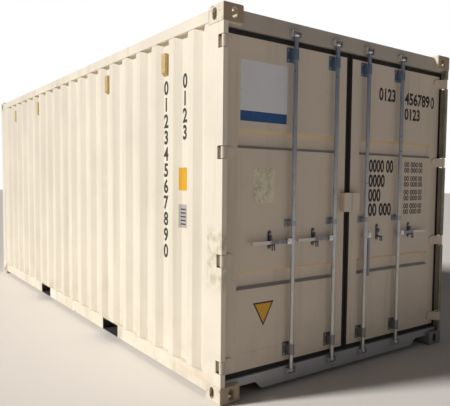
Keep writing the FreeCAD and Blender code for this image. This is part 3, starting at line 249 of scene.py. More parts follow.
def zinc(name, color, rough, spangle=0.5):
    """Dull zinc coating with a cloudy spangle, darker patches and a few brown spots."""
    coat = Finish(name, color, rough, 0.85)
    cells = coat.node("ShaderNodeTexVoronoi", feature="F1")
    cells.inputs["Scale"].default_value = 160.0
    coat.link(coat.stretched((1, 1, 0.35)), cells.inputs["Vector"])
    paler = tuple(min(1.0, channel * 1.35) for channel in color)
    darker = tuple(channel * 0.6 for channel in color)
    coat.tint(coat.ramp(cells.outputs["Distance"], 0.1, 0.6, 0.0, spangle), paler)
    coat.tint(coat.ramp(coat.noise(30.0, 4.0, 0.6, (1, 1, 0.25)), 0.5, 0.72, 0.0, 0.65), darker)
    coat.tint(coat.ramp(coat.noise(90.0, 4.0), 0.66, 0.72, 0.0, 0.6), (0.20, 0.10, 0.05))
    coat.roughen(coat.noise(45.0, 3.0), rough - 0.1, rough + 0.15)
    coat.bump(coat.noise(300.0, 2.0), 0.2, 0.0005)
    return coat


# Rods and fittings: cooler towards the top, a painted reflection of the sky; near the ground the rods turn
# warmer, a painted reflection of the floor, and the fittings darker.
rod_zinc = zinc("zinc_rod", (0.56, 0.58, 0.60), 0.36)
rod_zinc.tint(rod_zinc.ramp(rod_zinc.axis("Z"), 1.2, 2.3), (0.38, 0.44, 0.54))
rod_zinc.tint(rod_zinc.ramp(rod_zinc.axis("Z"), 1.1, 0.4, 0.0, 0.8), (0.54, 0.53, 0.49))
part_zinc = zinc("zinc_fittings", (0.40, 0.42, 0.45), 0.42)
part_zinc.tint(part_zinc.ramp(part_zinc.axis("Z"), 1.8, 2.0), (0.24, 0.31, 0.44))
part_zinc.tint(part_zinc.ramp(part_zinc.axis("Z"), 0.6, 0.5), (0.25, 0.25, 0.255))
keep_zinc = zinc("zinc_keep", (0.15, 0.155, 0.17), 0.45)
handle_zinc = zinc("zinc_handle", (0.26, 0.28, 0.32), 0.40)

# The free ends of the three closed handles are worn bright.
WORN_ZINC = (0.78, 0.74, 0.66)
GRIP_ENDS = ((-0.965, -0.795), (-0.550, -0.380), (0.795, 0.965))
for low, high in GRIP_ENDS:
    handle_zinc.tint(handle_zinc.times(handle_zinc.between("X", low, high, 0.012), 0.8), WORN_ZINC)
# Very pale zinc for the cams, hub nuts and top keepers; its paleness is partly painted highlight, standing in
# for the glints on them in shade.
bright_zinc = zinc("bright_zinc", (0.92, 0.91, 0.88), 0.28, 0.25)
bolt_zinc = zinc("zinc_bolt", (0.46, 0.46, 0.48), 0.4)

rubber = Finish("black_seal_rubber", (0.012, 0.011, 0.011), 0.62)
rubber.tint(rubber.ramp(rubber.noise(24.0, 5.0), 0.5, 0.75, 0.0, 0.4), (0.06, 0.05, 0.042))
rubber.bump(rubber.noise(240.0, 3.0), 0.3, 0.0008)

tan = Finish("tan_vent_plastic", (0.60, 0.43, 0.17), 0.55)
tan.tint(tan.ramp(tan.noise(20.0, 4.0), 0.45, 0.7, 0.0, 0.5), (0.45, 0.32, 0.13))
tan.bump(tan.noise(300.0, 2.0), 0.25, 0.0006)

plate = Finish("worn_data_plate", (0.80, 0.73, 0.56), 0.45, 0.1)
plate.tint(plate.ramp(plate.noise(16.0, 5.0, 0.7, (1, 1, 0.6)), 0.50, 0.66), (0.52, 0.48, 0.33))
plate.tint(plate.ramp(plate.noise(48.0, 5.0, 0.7), 0.55, 0.62), (0.90, 0.83, 0.66))
plate.roughen(plate.noise(40.0), 0.35, 0.6)
plate.bump(plate.noise(180.0, 3.0), 0.3, 0.0006)

wood = Finish("oiled_plywood_floor", (0.30, 0.17, 0.085), 0.55)
grain = wood.noise(14.0, 6.0, 0.65, (9.0, 0.5, 1.0))
wood.tint(wood.ramp(grain, 0.4, 0.65), (0.19, 0.10, 0.05))
boards = wood.node("ShaderNodeTexBrick", offset=0.5)
boards.inputs["Scale"].default_value = 1.0
boards.inputs["Mortar Size"].default_value = 0.006
boards.inputs["Brick Width"].default_value = 1.2
boards.inputs["Row Height"].default_value = 2.4
wood.link(wood.coords, boards.inputs["Vector"])
wood.tint(boards.outputs["Fac"], (0.03, 0.02, 0.012))
wood.tint(wood.ramp(wood.noise(2.0, 5.0), 0.5, 0.75, 0.0, 0.6), (0.12, 0.07, 0.04))
wood.roughen(grain, 0.45, 0.7)
wood.bump(grain, 0.25, 0.001)


def vinyl(name, color, rough=0.42):
    """Stuck-on film with slight fading and dust."""
    film = Finish(name, color, rough)
    faded = tuple(channel * 0.75 for channel in color)
    film.tint(film.ramp(film.noise(7.0, 4.0), 0.45, 0.75, 0.0, 0.25), faded)
    film.tint(film.ramp(film.noise(60.0, 4.0), 0.62, 0.72, 0.0, 0.4), (0.45, 0.40, 0.33))
    film.roughen(film.noise(12.0), rough - 0.05, rough + 0.12)
    return film


white_film = vinyl("white_film", (0.80, 0.80, 0.83))
blue_film = vinyl("blue_film", (0.02, 0.10, 0.29))
yellow_film = vinyl("yellow_film", (0.78, 0.40, 0.014))
grey_film = vinyl("pale_grey_film", (0.44, 0.42, 0.38))
black_paint = vinyl("black_marking_paint", (0.035, 0.032, 0.03), 0.5)
worn_black = vinyl("worn_marking_paint", (0.13, 0.115, 0.10), 0.5)

weld = Finish("painted_weld_bead", (0.70, 0.63, 0.50), 0.5)
weld.tint(weld.ramp(weld.noise(60.0, 4.0), 0.5, 0.7, 0.0, 0.6), (0.50, 0.40, 0.28))
weld.bump(weld.noise(130.0, 2.0), 0.5, 0.002)
# The beads on the doors take the doors' darker cream, with its painted shade.
weld_on_door = weathered_paint("door_bead_paint", (0.72, 0.645, 0.535), streaks=0.1)
weld_on_door.bump(weld_on_door.noise(160.0, 2.0), 0.5, 0.001)

CAD_FINISHES = {
    "top_corner_fittings": casting_paint,
    "bottom_corner_fittings": casting_paint,
    "rear_corner_posts": post_paint,
    "hinge_lugs": shell_paint,
    "hinge_pins": part_zinc,
    "front_corner_posts": shell_paint,
    "door_header": shaded_header_paint,
    "door_sill": sill_paint,
    "top_side_rails": shell_paint,
    "bottom_side_rails": rail_paint,
    "front_top_rail": shell_paint,
    "front_bottom_rail": rail_paint,
    "left_side_wall": wall_paint,
    "right_side_wall": wall_paint,
    "front_wall": wall_paint,
    "roof_panel": roof_paint,
    "floor_boards": wood,
    "floor_cross_members": under_paint,
    "fork_pocket_plates": under_paint,
    "top_cam_keepers": bright_zinc,
    "bottom_cam_keepers": sill_paint,
    "ventilators": tan,
    "left_door_data_plate": plate,
}
for side in ("left", "right"):
    CAD_FINISHES[f"{side}_door_frame"] = door_paint
    CAD_FINISHES[f"{side}_door_panel"] = panel_paint
    CAD_FINISHES[f"{side}_door_seal"] = rubber
    CAD_FINISHES[f"{side}_door_hinge_blades"] = door_paint
    CAD_FINISHES[f"{side}_door_rod_bearings"] = part_zinc
    CAD_FINISHES[f"{side}_door_handle_keeps"] = keep_zinc
    CAD_FINISHES[f"{side}_door_lock_box"] = door_paint
    for place in ("outer", "inner"):
        CAD_FINISHES[f"lock_rod_{place}_{side}"] = rod_zinc
        CAD_FINISHES[f"handle_{place}_{side}"] = handle_zinc
for name, finish in CAD_FINISHES.items():
    nodes[name].data.materials.clear()
    nodes[name].data.materials.append(finish.material)

# ---------------------------------------------------------------- making pieces


def finish_piece(mesh_builder, name, body, finish, smooth=False):
    """Turn a bmesh into a piece that rides on a body."""
    bmesh.ops.recalc_face_normals(mesh_builder, faces=mesh_builder.faces)
    mesh = bpy.data.meshes.new(name)
    mesh_builder.to_mesh(mesh)
    mesh_builder.free()
    if smooth:
        mesh.shade_smooth()
    mesh.materials.append(finish.material)
    piece = bpy.data.objects.new(name, mesh)
    bpy.context.scene.collection.objects.link(piece)
    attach(piece, body)
    return piece


def add_block(mesh_builder, low, high, bevel=0.0):
    """A block between two corners, with its edges bevelled."""
    low, high = Vector(low), Vector(high)
    place = Matrix.Translation((low + high) / 2) @ Matrix.Diagonal((*(high - low), 1.0))
    corners = bmesh.ops.create_cube(mesh_builder, size=1.0, matrix=place)["verts"]
    if bevel:
        edges = list({edge for corner in corners for edge in corner.link_edges})
        bmesh.ops.bevel(
            mesh_builder, geom=edges, offset=bevel, offset_type="OFFSET", affect="EDGES",
            segments=2, profile=0.5, material=-1,
        )


TURN = {
    "x": Matrix.Rotation(math.radians(90), 4, "Y"),
    "-x": Matrix.Rotation(math.radians(-90), 4, "Y"),
    "y": Matrix.Rotation(math.radians(-90), 4, "X"),
    "-y": Matrix.Rotation(math.radians(90), 4, "X"),
    "z": Matrix.Identity(4),
    "-z": Matrix.Rotation(math.radians(180), 4, "X"),
}


def add_drum(mesh_builder, base, towards, radius, depth, sides=24, top=None, turn=0.0):
    """A drum or cone that stands on its base point and points along an axis."""
    place = (
        Matrix.Translation(base) @ TURN[towards] @ Matrix.Rotation(turn, 4, "Z")
        @ Matrix.Translation((0, 0, depth / 2))
    )
    bmesh.ops.create_cone(
        mesh_builder, cap_ends=True, segments=sides, radius1=radius,
        radius2=radius if top is None else top, depth=depth, matrix=place,
    )


WASHER = 1.6 * MM


def add_bolt(mesh_builder, base, towards, radius, head):
    """Washer and six-sided head, turned at random."""
    add_drum(mesh_builder, base, towards, radius * 1.25, WASHER, 16)
    lift = TURN[towards] @ Vector((0, 0, WASHER))
    add_drum(mesh_builder, Vector(base) + lift, towards, radius, head, 6, radius * 0.94, random.random())


def add_rivet(mesh_builder, base, towards, radius, height):
    """A low domed head."""
    half = height * 0.5
    add_drum(mesh_builder, base, towards, radius, half, 12)
    lift = TURN[towards] @ Vector((0, 0, half))
    add_drum(mesh_builder, Vector(base) + lift, towards, radius, half, 12, radius * 0.5)


def add_ball(mesh_builder, centre, radius, stretch):
    """A ball stretched per axis."""
    place = Matrix.Translation(centre) @ Matrix.Diagonal((*stretch, 1.0))
    bmesh.ops.create_uvsphere(mesh_builder, u_segments=16, v_segments=8, radius=radius, matrix=place)


def side_sign(side):
    """The side's direction along X."""
    return -1 if side == "left" else 1


# ---------------------------------------------------------------- door leaves
ROD_AXIS = {}
for side in ("left", "right"):
    for place in ("outer", "inner"):
        ROD_AXIS[side, place] = Vector(joints[f"lock_rod_{place}_{side}_turn"]["pos_m"])
PIVOT = {key: Vector(joints[f"handle_{key[1]}_{key[0]}_swing"]["pos_m"]) for key in ROD_AXIS}
HANDLE_LEVEL = PIVOT["left", "outer"].z
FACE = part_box("left_door_panel")[0].y


def door_beads(side):
    """Weld beads round the pressed panel and down the two stiles' inner edges."""
    low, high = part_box(f"{side}_door_panel")
    beads = bmesh.new()
    half, edge = 2.0 * MM, 1.0 * MM
    front, back = FACE - 1.2 * MM, FACE + 1.2 * MM
    for level in (low.z, high.z):
        add_block(beads, (low.x, front, level - half), (high.x, back, level + half), edge)
    for across in (low.x, high.x):
        add_block(beads, (across - half, front, low.z), (across + half, back, high.z), edge)
    finish_piece(beads, f"{side}_door_weld_beads", f"{side}_door", weld_on_door)


def seal_lips(side):
    """Two raised lips along the outer edge of the rubber."""
    low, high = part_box(f"{side}_door_seal")
    front, back = low.y - 2.0 * MM, low.y + 1 * MM
    half = 2.2 * MM
    lips = bmesh.new()
    for inset in (5 * MM, 17 * MM):
        left, right = low.x + inset, high.x - inset
        foot, head = low.z + inset, high.z - inset
        for level in (foot, head):
            add_block(lips, (left, front, level - half), (right, back, level + half), 1 * MM)
        for across in (left, right):
            add_block(lips, (across - half, front, foot), (across + half, back, head), 1 * MM)
    finish_piece(lips, f"{side}_door_seal_lips", f"{side}_door", rubber)


def seal_clamp(side):
    """Flat bar and rivets that hold the rubber on the inner side of the leaf."""
    low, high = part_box(f"{side}_door_frame")
    inset, width, thick, edge = 6 * MM, 24 * MM, 2.5 * MM, 0.8 * MM
    upright_rivets, level_gaps = 15, 7
    rivet_radius, rivet_height = 5 * MM, 3 * MM
    back, proud = high.y, high.y + thick
    left, right = low.x + inset, high.x - inset
    foot, head = low.z + inset, high.z - inset
    bars = bmesh.new()
    rivets = bmesh.new()
    add_block(bars, (left, back, foot), (right, proud, foot + width), edge)
    add_block(bars, (left, back, head - width), (right, proud, head), edge)
    for side_low in (left, right - width):
        add_block(bars, (side_low, back, foot + width), (side_low + width, proud, head - width), edge)
    for index in range(upright_rivets):
        level = foot + width / 2 + (head - foot - width) * index / (upright_rivets - 1)
        for across in (left + width / 2, right - width / 2):
            add_rivet(rivets, (across, proud, level), "y", rivet_radius, rivet_height)
    for index in range(1, level_gaps):
        across = left + width / 2 + (right - left - width) * index / level_gaps
        for level in (foot + width / 2, head - width / 2):
            add_rivet(rivets, (across, proud, level), "y", rivet_radius, rivet_height)
    finish_piece(bars, f"{side}_door_seal_bars", f"{side}_door", part_zinc)
    finish_piece(rivets, f"{side}_door_seal_rivets", f"{side}_door", bolt_zinc)


# Each bearing's level and how far its bolts sit above and below it.
BEARING_LEVELS = ((2.350, 36 * MM), (1.172, 14 * MM), (0.262, 36 * MM))
BOLT_SPREAD = 38 * MM
BASE_PLATE = 5 * MM


def bearing_bolts(side):
    """Bolts through the base plates of the rod bearings."""
    bolts = bmesh.new()
    for place in ("outer", "inner"):
        axis = ROD_AXIS[side, place]
        for level, spread in BEARING_LEVELS:
            for across in (-BOLT_SPREAD, BOLT_SPREAD):
                for rise in (-spread, spread):
                    seat = (axis.x + across, FACE - BASE_PLATE, level + rise)
                    add_bolt(bolts, seat, "-y", 7.5 * MM, 5 * MM)
    finish_piece(bolts, f"{side}_door_bearing_bolts", f"{side}_door", bolt_zinc)


def handle_keep_details(side):
    """Rounded head, two bolts and a catch above the handle, on each handle keep."""
    heads = bmesh.new()
    bolts = bmesh.new()
    low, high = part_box(f"{side}_door_handle_keeps")
    half, catch_half, reach = 14 * MM, 8 * MM, 185 * MM
    shelf_foot, shelf_top = HANDLE_LEVEL + 30 * MM, HANDLE_LEVEL + 35 * MM
    catch_foot, catch_top = HANDLE_LEVEL + 17 * MM, HANDLE_LEVEL + 48 * MM
    for place in ("outer", "inner"):
        centre = ROD_AXIS[side, place].x + side_sign(side) * reach
        add_drum(heads, (centre, FACE, high.z - 1 * MM), "-y", half, BASE_PLATE, 28)
        add_block(heads, (centre - half, FACE - 22 * MM, shelf_foot), (centre + half, FACE, shelf_top), 1.5 * MM)
        add_block(heads, (centre - catch_half, FACE - 26 * MM, catch_foot),
                  (centre + catch_half, FACE - 18 * MM, catch_top), 3 * MM)
        add_bolt(bolts, (centre, FACE - BASE_PLATE, high.z - 12 * MM), "-y", 7 * MM, 5 * MM)
        add_bolt(bolts, (centre, FACE - BASE_PLATE, low.z + 8 * MM), "-y", 6 * MM, 4 * MM)
    finish_piece(heads, f"{side}_door_keep_catches", f"{side}_door", keep_zinc)
    finish_piece(bolts, f"{side}_door_keep_bolts", f"{side}_door", bolt_zinc)


def hub_details(side, place):
    """Square washer and nut on the handle's pivot, rings on the hub and forged cams at the rod's ends."""
    axis, pivot = ROD_AXIS[side, place], PIVOT[side, place]
    body = f"lock_rod_{place}_{side}"
    front, washer, half = axis.y - 10 * MM, 3 * MM, 17 * MM
    hub = bmesh.new()
    add_block(hub, (pivot.x - half, front - washer, pivot.z - half),
              (pivot.x + half, front, pivot.z + half), 1.2 * MM)
    add_drum(hub, (pivot.x, front - washer, pivot.z), "-y", 10 * MM, 7 * MM, 6, 9.5 * MM)
    finish_piece(hub, f"{place}_{side}_hub_nut", body, bright_zinc)
    ring = 4 * MM
    rings = bmesh.new()
    for level in (HANDLE_LEVEL - 27 * MM, HANDLE_LEVEL + 23 * MM):
        add_drum(rings, (axis.x, axis.y, level), "z", 19.5 * MM, ring, 40)
    finish_piece(rings, f"{place}_{side}_hub_rings", body, rod_zinc)
    low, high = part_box(body)
    from_end, reach, radius, depth = 16 * MM, 23 * MM, 20 * MM, 20 * MM
    cams = bmesh.new()
    for level in (high.z - from_end, low.z + from_end):
        nose = Vector((axis.x + side_sign(side) * reach, axis.y, level))
        add_ball(cams, nose, 9 * MM, (0.6, 1.1, 1.35))
        add_drum(cams, (axis.x, axis.y, level - depth / 2), "z", radius, depth, 36)
    finish_piece(cams, f"{place}_{side}_cam_forgings", body, bright_zinc, True)


def keeper_glint_strips():
    """Bright strips on the ears of the top cam keepers: painted highlights, standing in for glints."""
    low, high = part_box("top_cam_keepers")
    spread, half = 37.5 * MM, 3 * MM
    glint_strips = bmesh.new()
    for axis in ROD_AXIS.values():
        for middle in (axis.x - spread, axis.x + spread):
            add_block(glint_strips, (middle - half, low.y - 1 * MM, low.z + 2 * MM),
                      (middle + half, low.y + 1 * MM, high.z - 1 * MM), 0.5 * MM)
    finish_piece(glint_strips, "keeper_painted_glints", "container_shell", bright_zinc)


def hinge_shoulders(side):
    """Painted filler behind each blade, which closes the rubber off from the post's slot."""
    sign = side_sign(side)
    blades = 4
    low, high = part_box(f"{side}_door_hinge_blades")
    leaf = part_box(f"{side}_door_frame")
    edge = max(abs(leaf[0].x), abs(leaf[1].x))
    half = 38 * MM
    spacing = (high.z - low.z - half * 2) / (blades - 1)
    left, right = sorted((sign * (edge + 0.5 * MM), sign * (edge + 34 * MM)))
    front, back = FACE + 0.5 * MM, FACE + 16 * MM
    fillers = bmesh.new()
    for index in range(blades):
        level = low.z + half + spacing * index
        add_block(fillers, (left, front, level - half), (right, back, level + half), 1 * MM)
    finish_piece(fillers, f"{side}_door_hinge_fillers", f"{side}_door", slot_dirt_and_shade_paint)


def lock_box_details():
    """Tall flange beside the lock box on the left leaf and a short rim on the right one."""
    thick = 4 * MM
    low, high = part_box("left_door_lock_box")
    base = bmesh.new()
    add_block(base, (low.x - 20 * MM, FACE - thick, low.z - 28 * MM),
              (low.x + 2 * MM, FACE, high.z + 34 * MM), 1 * MM)
    finish_piece(base, "lock_box_flange", "left_door", door_paint)
    low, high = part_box("right_door_lock_box")
    rim = bmesh.new()
    add_block(rim, (high.x - 2 * MM, FACE - thick, low.z), (high.x + 14 * MM, FACE, high.z), 1 * MM)
    finish_piece(rim, "lock_box_rim", "right_door", door_paint)


def plate_rivets():
    """Six rivets on the data plate."""
    low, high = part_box("left_door_data_plate")
    inset = 8 * MM
    rivets = bmesh.new()
    for across in (low.x + inset, high.x - inset):
        for level in (low.z + inset, (low.z + high.z) / 2, high.z - inset):
            add_rivet(rivets, (across, low.y, level), "-y", 3.5 * MM, 2 * MM)
    finish_piece(rivets, "data_plate_rivets", "left_door", bolt_zinc)


for side in ("left", "right"):
    door_beads(side)
    seal_lips(side)
    seal_clamp(side)
    bearing_bolts(side)
    handle_keep_details(side)
    hinge_shoulders(side)
    for place in ("outer", "inner"):
        hub_details(side, place)
keeper_glint_strips()
lock_box_details()
plate_rivets()

# ---------------------------------------------------------------- markings
# Thickness of films and painted marks, a numeral's height as a share of the font size, how far its
# strokes are fattened, and the strips into which a mark is cut to follow the folds.
FILM = 0.6 * MM
PAINT = 0.4 * MM
FONT_FILL = 0.72
BOLDNESS = 0.045
FOLD_STEP = 6 * MM


def door_film(name, body, finish, left, bottom, right, top):
    """A flat film on the door face."""
    film = bmesh.new()
    add_block(film, (left, FACE - FILM, bottom), (right, FACE, top))
    finish_piece(film, name, body, finish)


def sign_panel():
    """Blank white sign with a plain blue foot, on the left leaf."""
    low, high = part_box("left_door_panel")
    left, top = low.x + 24 * MM, high.z - 29 * MM
    right, blue_top, bottom = left + 404 * MM, top - 332 * MM, top - 400 * MM
    door_film("blank_sign", "left_door", white_film, left, blue_top, right, top)
    door_film("blank_sign_foot", "left_door", blue_film, left, bottom, right, blue_top)


def yellow_triangle():
    """Plain yellow triangle, point down, with a dark edge and no sign on it."""
    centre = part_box("left_door_panel")[0].x + 240 * MM
    top, tip, half = 0.630, 0.460, 92 * MM
    field_share = 0.80
    middle = (top * 2 + tip) / 3
    for name, finish, grow, lift in (
        ("triangle_edge", black_paint, 1.0, FILM), ("triangle_field", yellow_film, field_share, FILM * 2),
    ):
        film = bmesh.new()
        corners = [(-half, top - middle), (0, tip - middle), (half, top - middle)]
        film.faces.new([film.verts.new((across * grow, 0, level * grow)) for across, level in corners])
        bmesh.ops.translate(film, verts=film.verts, vec=(centre, FACE, middle))
        thicken(film, (0, -lift, 0))
        finish_piece(film, name, "left_door", finish)


def numeral_mesh(text, height):
    """Flat numerals standing in the XZ plane, bottom left at the origin."""
    curve = bpy.data.curves.new("numerals", "FONT")
    curve.body = text
    curve.size = height / FONT_FILL
    curve.offset = height * BOLDNESS
    curve.fill_mode = "FRONT"
    curve.resolution_u = 4
    writer = bpy.data.objects.new("numerals", curve)
    bpy.context.scene.collection.objects.link(writer)
    bpy.context.view_layer.update()
    mesh = bpy.data.meshes.new_from_object(writer.evaluated_get(bpy.context.evaluated_depsgraph_get()))
    bpy.data.objects.remove(writer)
    letters = bmesh.new()
    letters.from_mesh(mesh)
    bpy.data.meshes.remove(mesh)
    bmesh.ops.remove_doubles(letters, verts=letters.verts, dist=1e-6)
    bmesh.ops.rotate(letters, matrix=Matrix.Rotation(math.radians(90), 3, "X"), verts=letters.verts)
    start = min(vert.co.x for vert in letters.verts)
    foot = min(vert.co.z for vert in letters.verts)
    bmesh.ops.translate(letters, vec=(-start, 0, -foot), verts=letters.verts)
    return letters


def thicken(mesh_builder, offset):
    """Give flat shapes a back, so that they are closed."""
    extruded = bmesh.ops.extrude_face_region(mesh_builder, geom=mesh_builder.faces[:])["geom"]
    moved = [item for item in extruded if isinstance(item, bmesh.types.BMVert)]
    bmesh.ops.translate(mesh_builder, verts=moved, vec=offset)


def door_numerals(name, text, left, bottom, height, width, finish):
    """Numerals fitted to a width on the right leaf's face."""
    letters = numeral_mesh(text, height)
    span = max(vert.co.x for vert in letters.verts)
    bmesh.ops.scale(letters, vec=(width / span, 1, 1), verts=letters.verts)
    bmesh.ops.translate(letters, vec=(left, FACE, bottom), verts=letters.verts)
    thicken(letters, (0, -PAINT, 0))
    finish_piece(letters, name, "right_door", finish)


# Text, left edge, foot, height and width of each mark in the two upper lines.
UPPER_MARKS = {
    "upper_marks_left": ("0123", 0.351, 2.133, 98 * MM, 210 * MM),
    "upper_marks_right": ("456789", 0.685, 2.126, 98 * MM, 350 * MM),
    "upper_marks_last": ("0", 1.050, 2.124, 98 * MM, 52 * MM),
    "second_marks": ("0123", 0.686, 2.000, 93 * MM, 214 * MM),
}
# Foot, text and width of each row of the table, then the small figures beside every row.
TABLE_ROWS = (
    (1.547, "0000 00", 305 * MM),
    (1.427, "0000", 200 * MM),
    (1.309, "000", 150 * MM),
    (1.191, "00 000", 290 * MM),
)
SMALL_FIGURES = (("figures", "00 000", 0.705, 190 * MM), ("units", "00", 0.905, 55 * MM))


def right_leaf_numerals():
    """Plain counting numerals where a container carries its marks."""
    for name, (text, left, foot, height, width) in UPPER_MARKS.items():
        door_numerals(name, text, left, foot, height, width, black_paint)
    small = 42 * MM
    for index, (foot, text, width) in enumerate(TABLE_ROWS):
        door_numerals(f"row_marks_{index}", text, 0.250, foot, 100 * MM, width, black_paint)
        for line, lift in enumerate((54 * MM, 4 * MM)):
            for kind, figures, left, wide in SMALL_FIGURES:
                name = f"row_{kind}_{index}_{line}"
                door_numerals(name, figures, left, foot + lift, small, wide, worn_black)


def wall_tree(node):
    """A lookup of the wall's surface, for laying marks on its folds."""
    mesh = bmesh.new()
    mesh.from_mesh(nodes[node].data)
    tree = BVHTree.FromBMesh(mesh)
    mesh.free()
    return tree


WALL_TREE = {"left": wall_tree("left_side_wall"), "right": wall_tree("right_side_wall")}


def lay_on_wall(mesh_builder, side, lift):
    """Drop a flat shape onto the folded side wall, straight across."""
    sign = side_sign(side)
    for vert in mesh_builder.verts:
        start = Vector((sign * 1.5, vert.co.y, vert.co.z))
        hit = WALL_TREE[side].ray_cast(start, Vector((-sign, 0, 0)))[0]
        vert.co.x = hit.x + sign * lift


def cut_at_folds(mesh_builder, low, high, step=FOLD_STEP):
    """Slice a shape into narrow strips so that it can follow the wall's folds."""
    count = max(1, int((high - low) / step))
    for index in range(1, count):
        place = low + (high - low) * index / count
        bmesh.ops.bisect_plane(
            mesh_builder, geom=mesh_builder.verts[:] + mesh_builder.edges[:] + mesh_builder.faces[:],
            plane_co=(0, place, 0), plane_no=(0, 1, 0),
        )


# The width of a nought as a share of its height.
NOUGHT_SHARE = 0.66


def wall_numeral(name, text, side, centre, bottom, height, width, finish):
    """One painted numeral, upright on a side wall and as wide as given if it is a nought."""
    sign = side_sign(side)
    letter = numeral_mesh(text, height)
    bmesh.ops.scale(letter, vec=(width / (height * NOUGHT_SHARE), 1, 1), verts=letter.verts)
    span = max(vert.co.x for vert in letter.verts)
    bmesh.ops.translate(letter, vec=(-span / 2, 0, 0), verts=letter.verts)
    bmesh.ops.rotate(letter, matrix=Matrix.Rotation(math.radians(90 * sign), 3, "Z"), verts=letter.verts)
    bmesh.ops.translate(letter, vec=(0, centre, bottom), verts=letter.verts)
    cut_at_folds(letter, centre - span / 2, centre + span / 2)
    lay_on_wall(letter, side, 0.3 * MM)
    thicken(letter, (sign * PAINT, 0, 0))
    finish_piece(letter, name, "container_shell", finish)


def wall_film(name, side, place, finish, lift=0.3 * MM, border=0.0):
    """A film on a side wall, from near to far and bottom to top, or only its border."""
    near, far, bottom, top = place
    film = bmesh.new()
    corners = [(near, bottom), (far, bottom), (far, top), (near, top)]
    face = film.faces.new([film.verts.new((0, along, level)) for along, level in corners])
    if border:
        bmesh.ops.inset_individual(film, faces=[face], thickness=border)
        bmesh.ops.delete(film, geom=[face], context="FACES")
    cut_at_folds(film, near, far)
    lay_on_wall(film, side, lift)
    thicken(film, (side_sign(side) * PAINT, 0, 0))
    finish_piece(film, name, "container_shell", finish)


# Name, digits, place along the wall, top, pitch and width of each upright column.
NUMERAL_COLUMNS = (
    ("column", "01234567890", DOOR_END + 0.821, 2.205, 123.1 * MM, 64 * MM),
    ("short_column", "0123", DOOR_END + 0.541, 2.222, 121.5 * MM, 58 * MM),
)
DECAL_NEAR, DECAL_FAR = DOOR_END + 0.510, DOOR_END + 0.603


def side_marks(side):
    """Upright columns of counting numerals, a plain yellow film and a plain framed decal, in two recesses."""
    tall = 100 * MM
    for name, digits, place, top, pitch, width in NUMERAL_COLUMNS:
        for index, digit in enumerate(digits):
            foot = top - tall - pitch * index
            wall_numeral(f"{side}_{name}_{index}", digit, side, place, foot, tall, width, black_paint)
    wall_film(f"{side}_yellow_film", side, (DECAL_NEAR, DECAL_FAR, 1.394, 1.559), yellow_film)
    decal = (DECAL_NEAR, DECAL_FAR, 1.124, 1.293)
    wall_film(f"{side}_decal_field", side, decal, grey_film, 0.2 * MM)
    wall_film(f"{side}_decal_border", side, decal, black_paint, 0.5 * MM, 6 * MM)
    first_bar, bar_pitch, bar_height = 1.145, 27 * MM, 10 * MM
    for index in range(5):
        level = first_bar + index * bar_pitch
        bar = (DECAL_NEAR + 14 * MM, DECAL_FAR - 16 * MM, level, level + bar_height)
        wall_film(f"{side}_decal_bar_{index}", side, bar, black_paint, 0.5 * MM)


sign_panel()
yellow_triangle()
right_leaf_numerals()
for side in ("left", "right"):
    side_marks(side)

# ---------------------------------------------------------------- shell details


def wall_seams(side):
    """Beads where the wall meets the rails, laid along the folds."""
    low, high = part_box(f"{side}_side_wall")
    half = 2.5 * MM
    for name, level in (("foot", low.z + 3 * MM), ("head", high.z - 3 * MM)):
        foot, head = level - half, level + half
        corners = ((low.y, foot), (high.y, foot), (high.y, head), (low.y, head))
        bead = bmesh.new()
        bead.faces.new([bead.verts.new((0, along, height)) for along, height in corners])
        cut_at_folds(bead, low.y, high.y, 17 * MM)
        lay_on_wall(bead, side, -0.3 * MM)
        thicken(bead, (side_sign(side) * 2.2 * MM, 0, 0))
        finish_piece(bead, f"{side}_wall_{name}_bead", "container_shell", weld)


def vent_screws():
    """Two screws on every ventilator."""
    low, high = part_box("ventilators")
    reach = max(abs(low.x), abs(high.x))
    inset, between_vents = 30 * MM, 277.5 * MM * 4
    near, far = low.y + inset, high.y - inset
    screws = bmesh.new()
    for sign, towards in ((-1, "-x"), (1, "x")):
        for along in (near, near + between_vents, far - between_vents, far):
            for level in (high.z - 14 * MM, low.z + 42 * MM):
                add_rivet(screws, (sign * reach, along, level), towards, 4.5 * MM, 2.2 * MM)
    finish_piece(screws, "ventilator_screws", "container_shell", bolt_zinc)


def roof_gussets():
    """Doubler plates on the roof beside the top castings."""
    roof_end, roof_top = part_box("roof_panel")[1].yz
    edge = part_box("top_corner_fittings")[1].x
    gussets = bmesh.new()
    for across in (-1, 1):
        left, right = sorted((across * (edge - 170 * MM), across * (edge - 470 * MM)))
        for along in (-1, 1):
            near, far = sorted((along * (roof_end - 16 * MM), along * (roof_end - 76 * MM)))
            add_block(gussets, (left, near, roof_top - 14 * MM), (right, far, roof_top - 9 * MM), 1.5 * MM)
    finish_piece(gussets, "roof_gussets", "container_shell", roof_paint)


def floor_screws():
    """Countersunk screw rows over the cross members."""
    low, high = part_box("floor_boards")
    inset, rows, per_row = 60 * MM, 20, 9
    screws = bmesh.new()
    for row in range(rows):
        along = low.y + inset + (high.y - low.y - inset * 2) * row / (rows - 1)
        for index in range(per_row):
            across = low.x + inset + (high.x - low.x - inset * 2) * index / (per_row - 1)
            add_drum(screws, (across, along, high.z - 1 * MM), "z", 6 * MM, 1.4 * MM, 10)
    finish_piece(screws, "floor_screws", "container_shell", bolt_zinc)


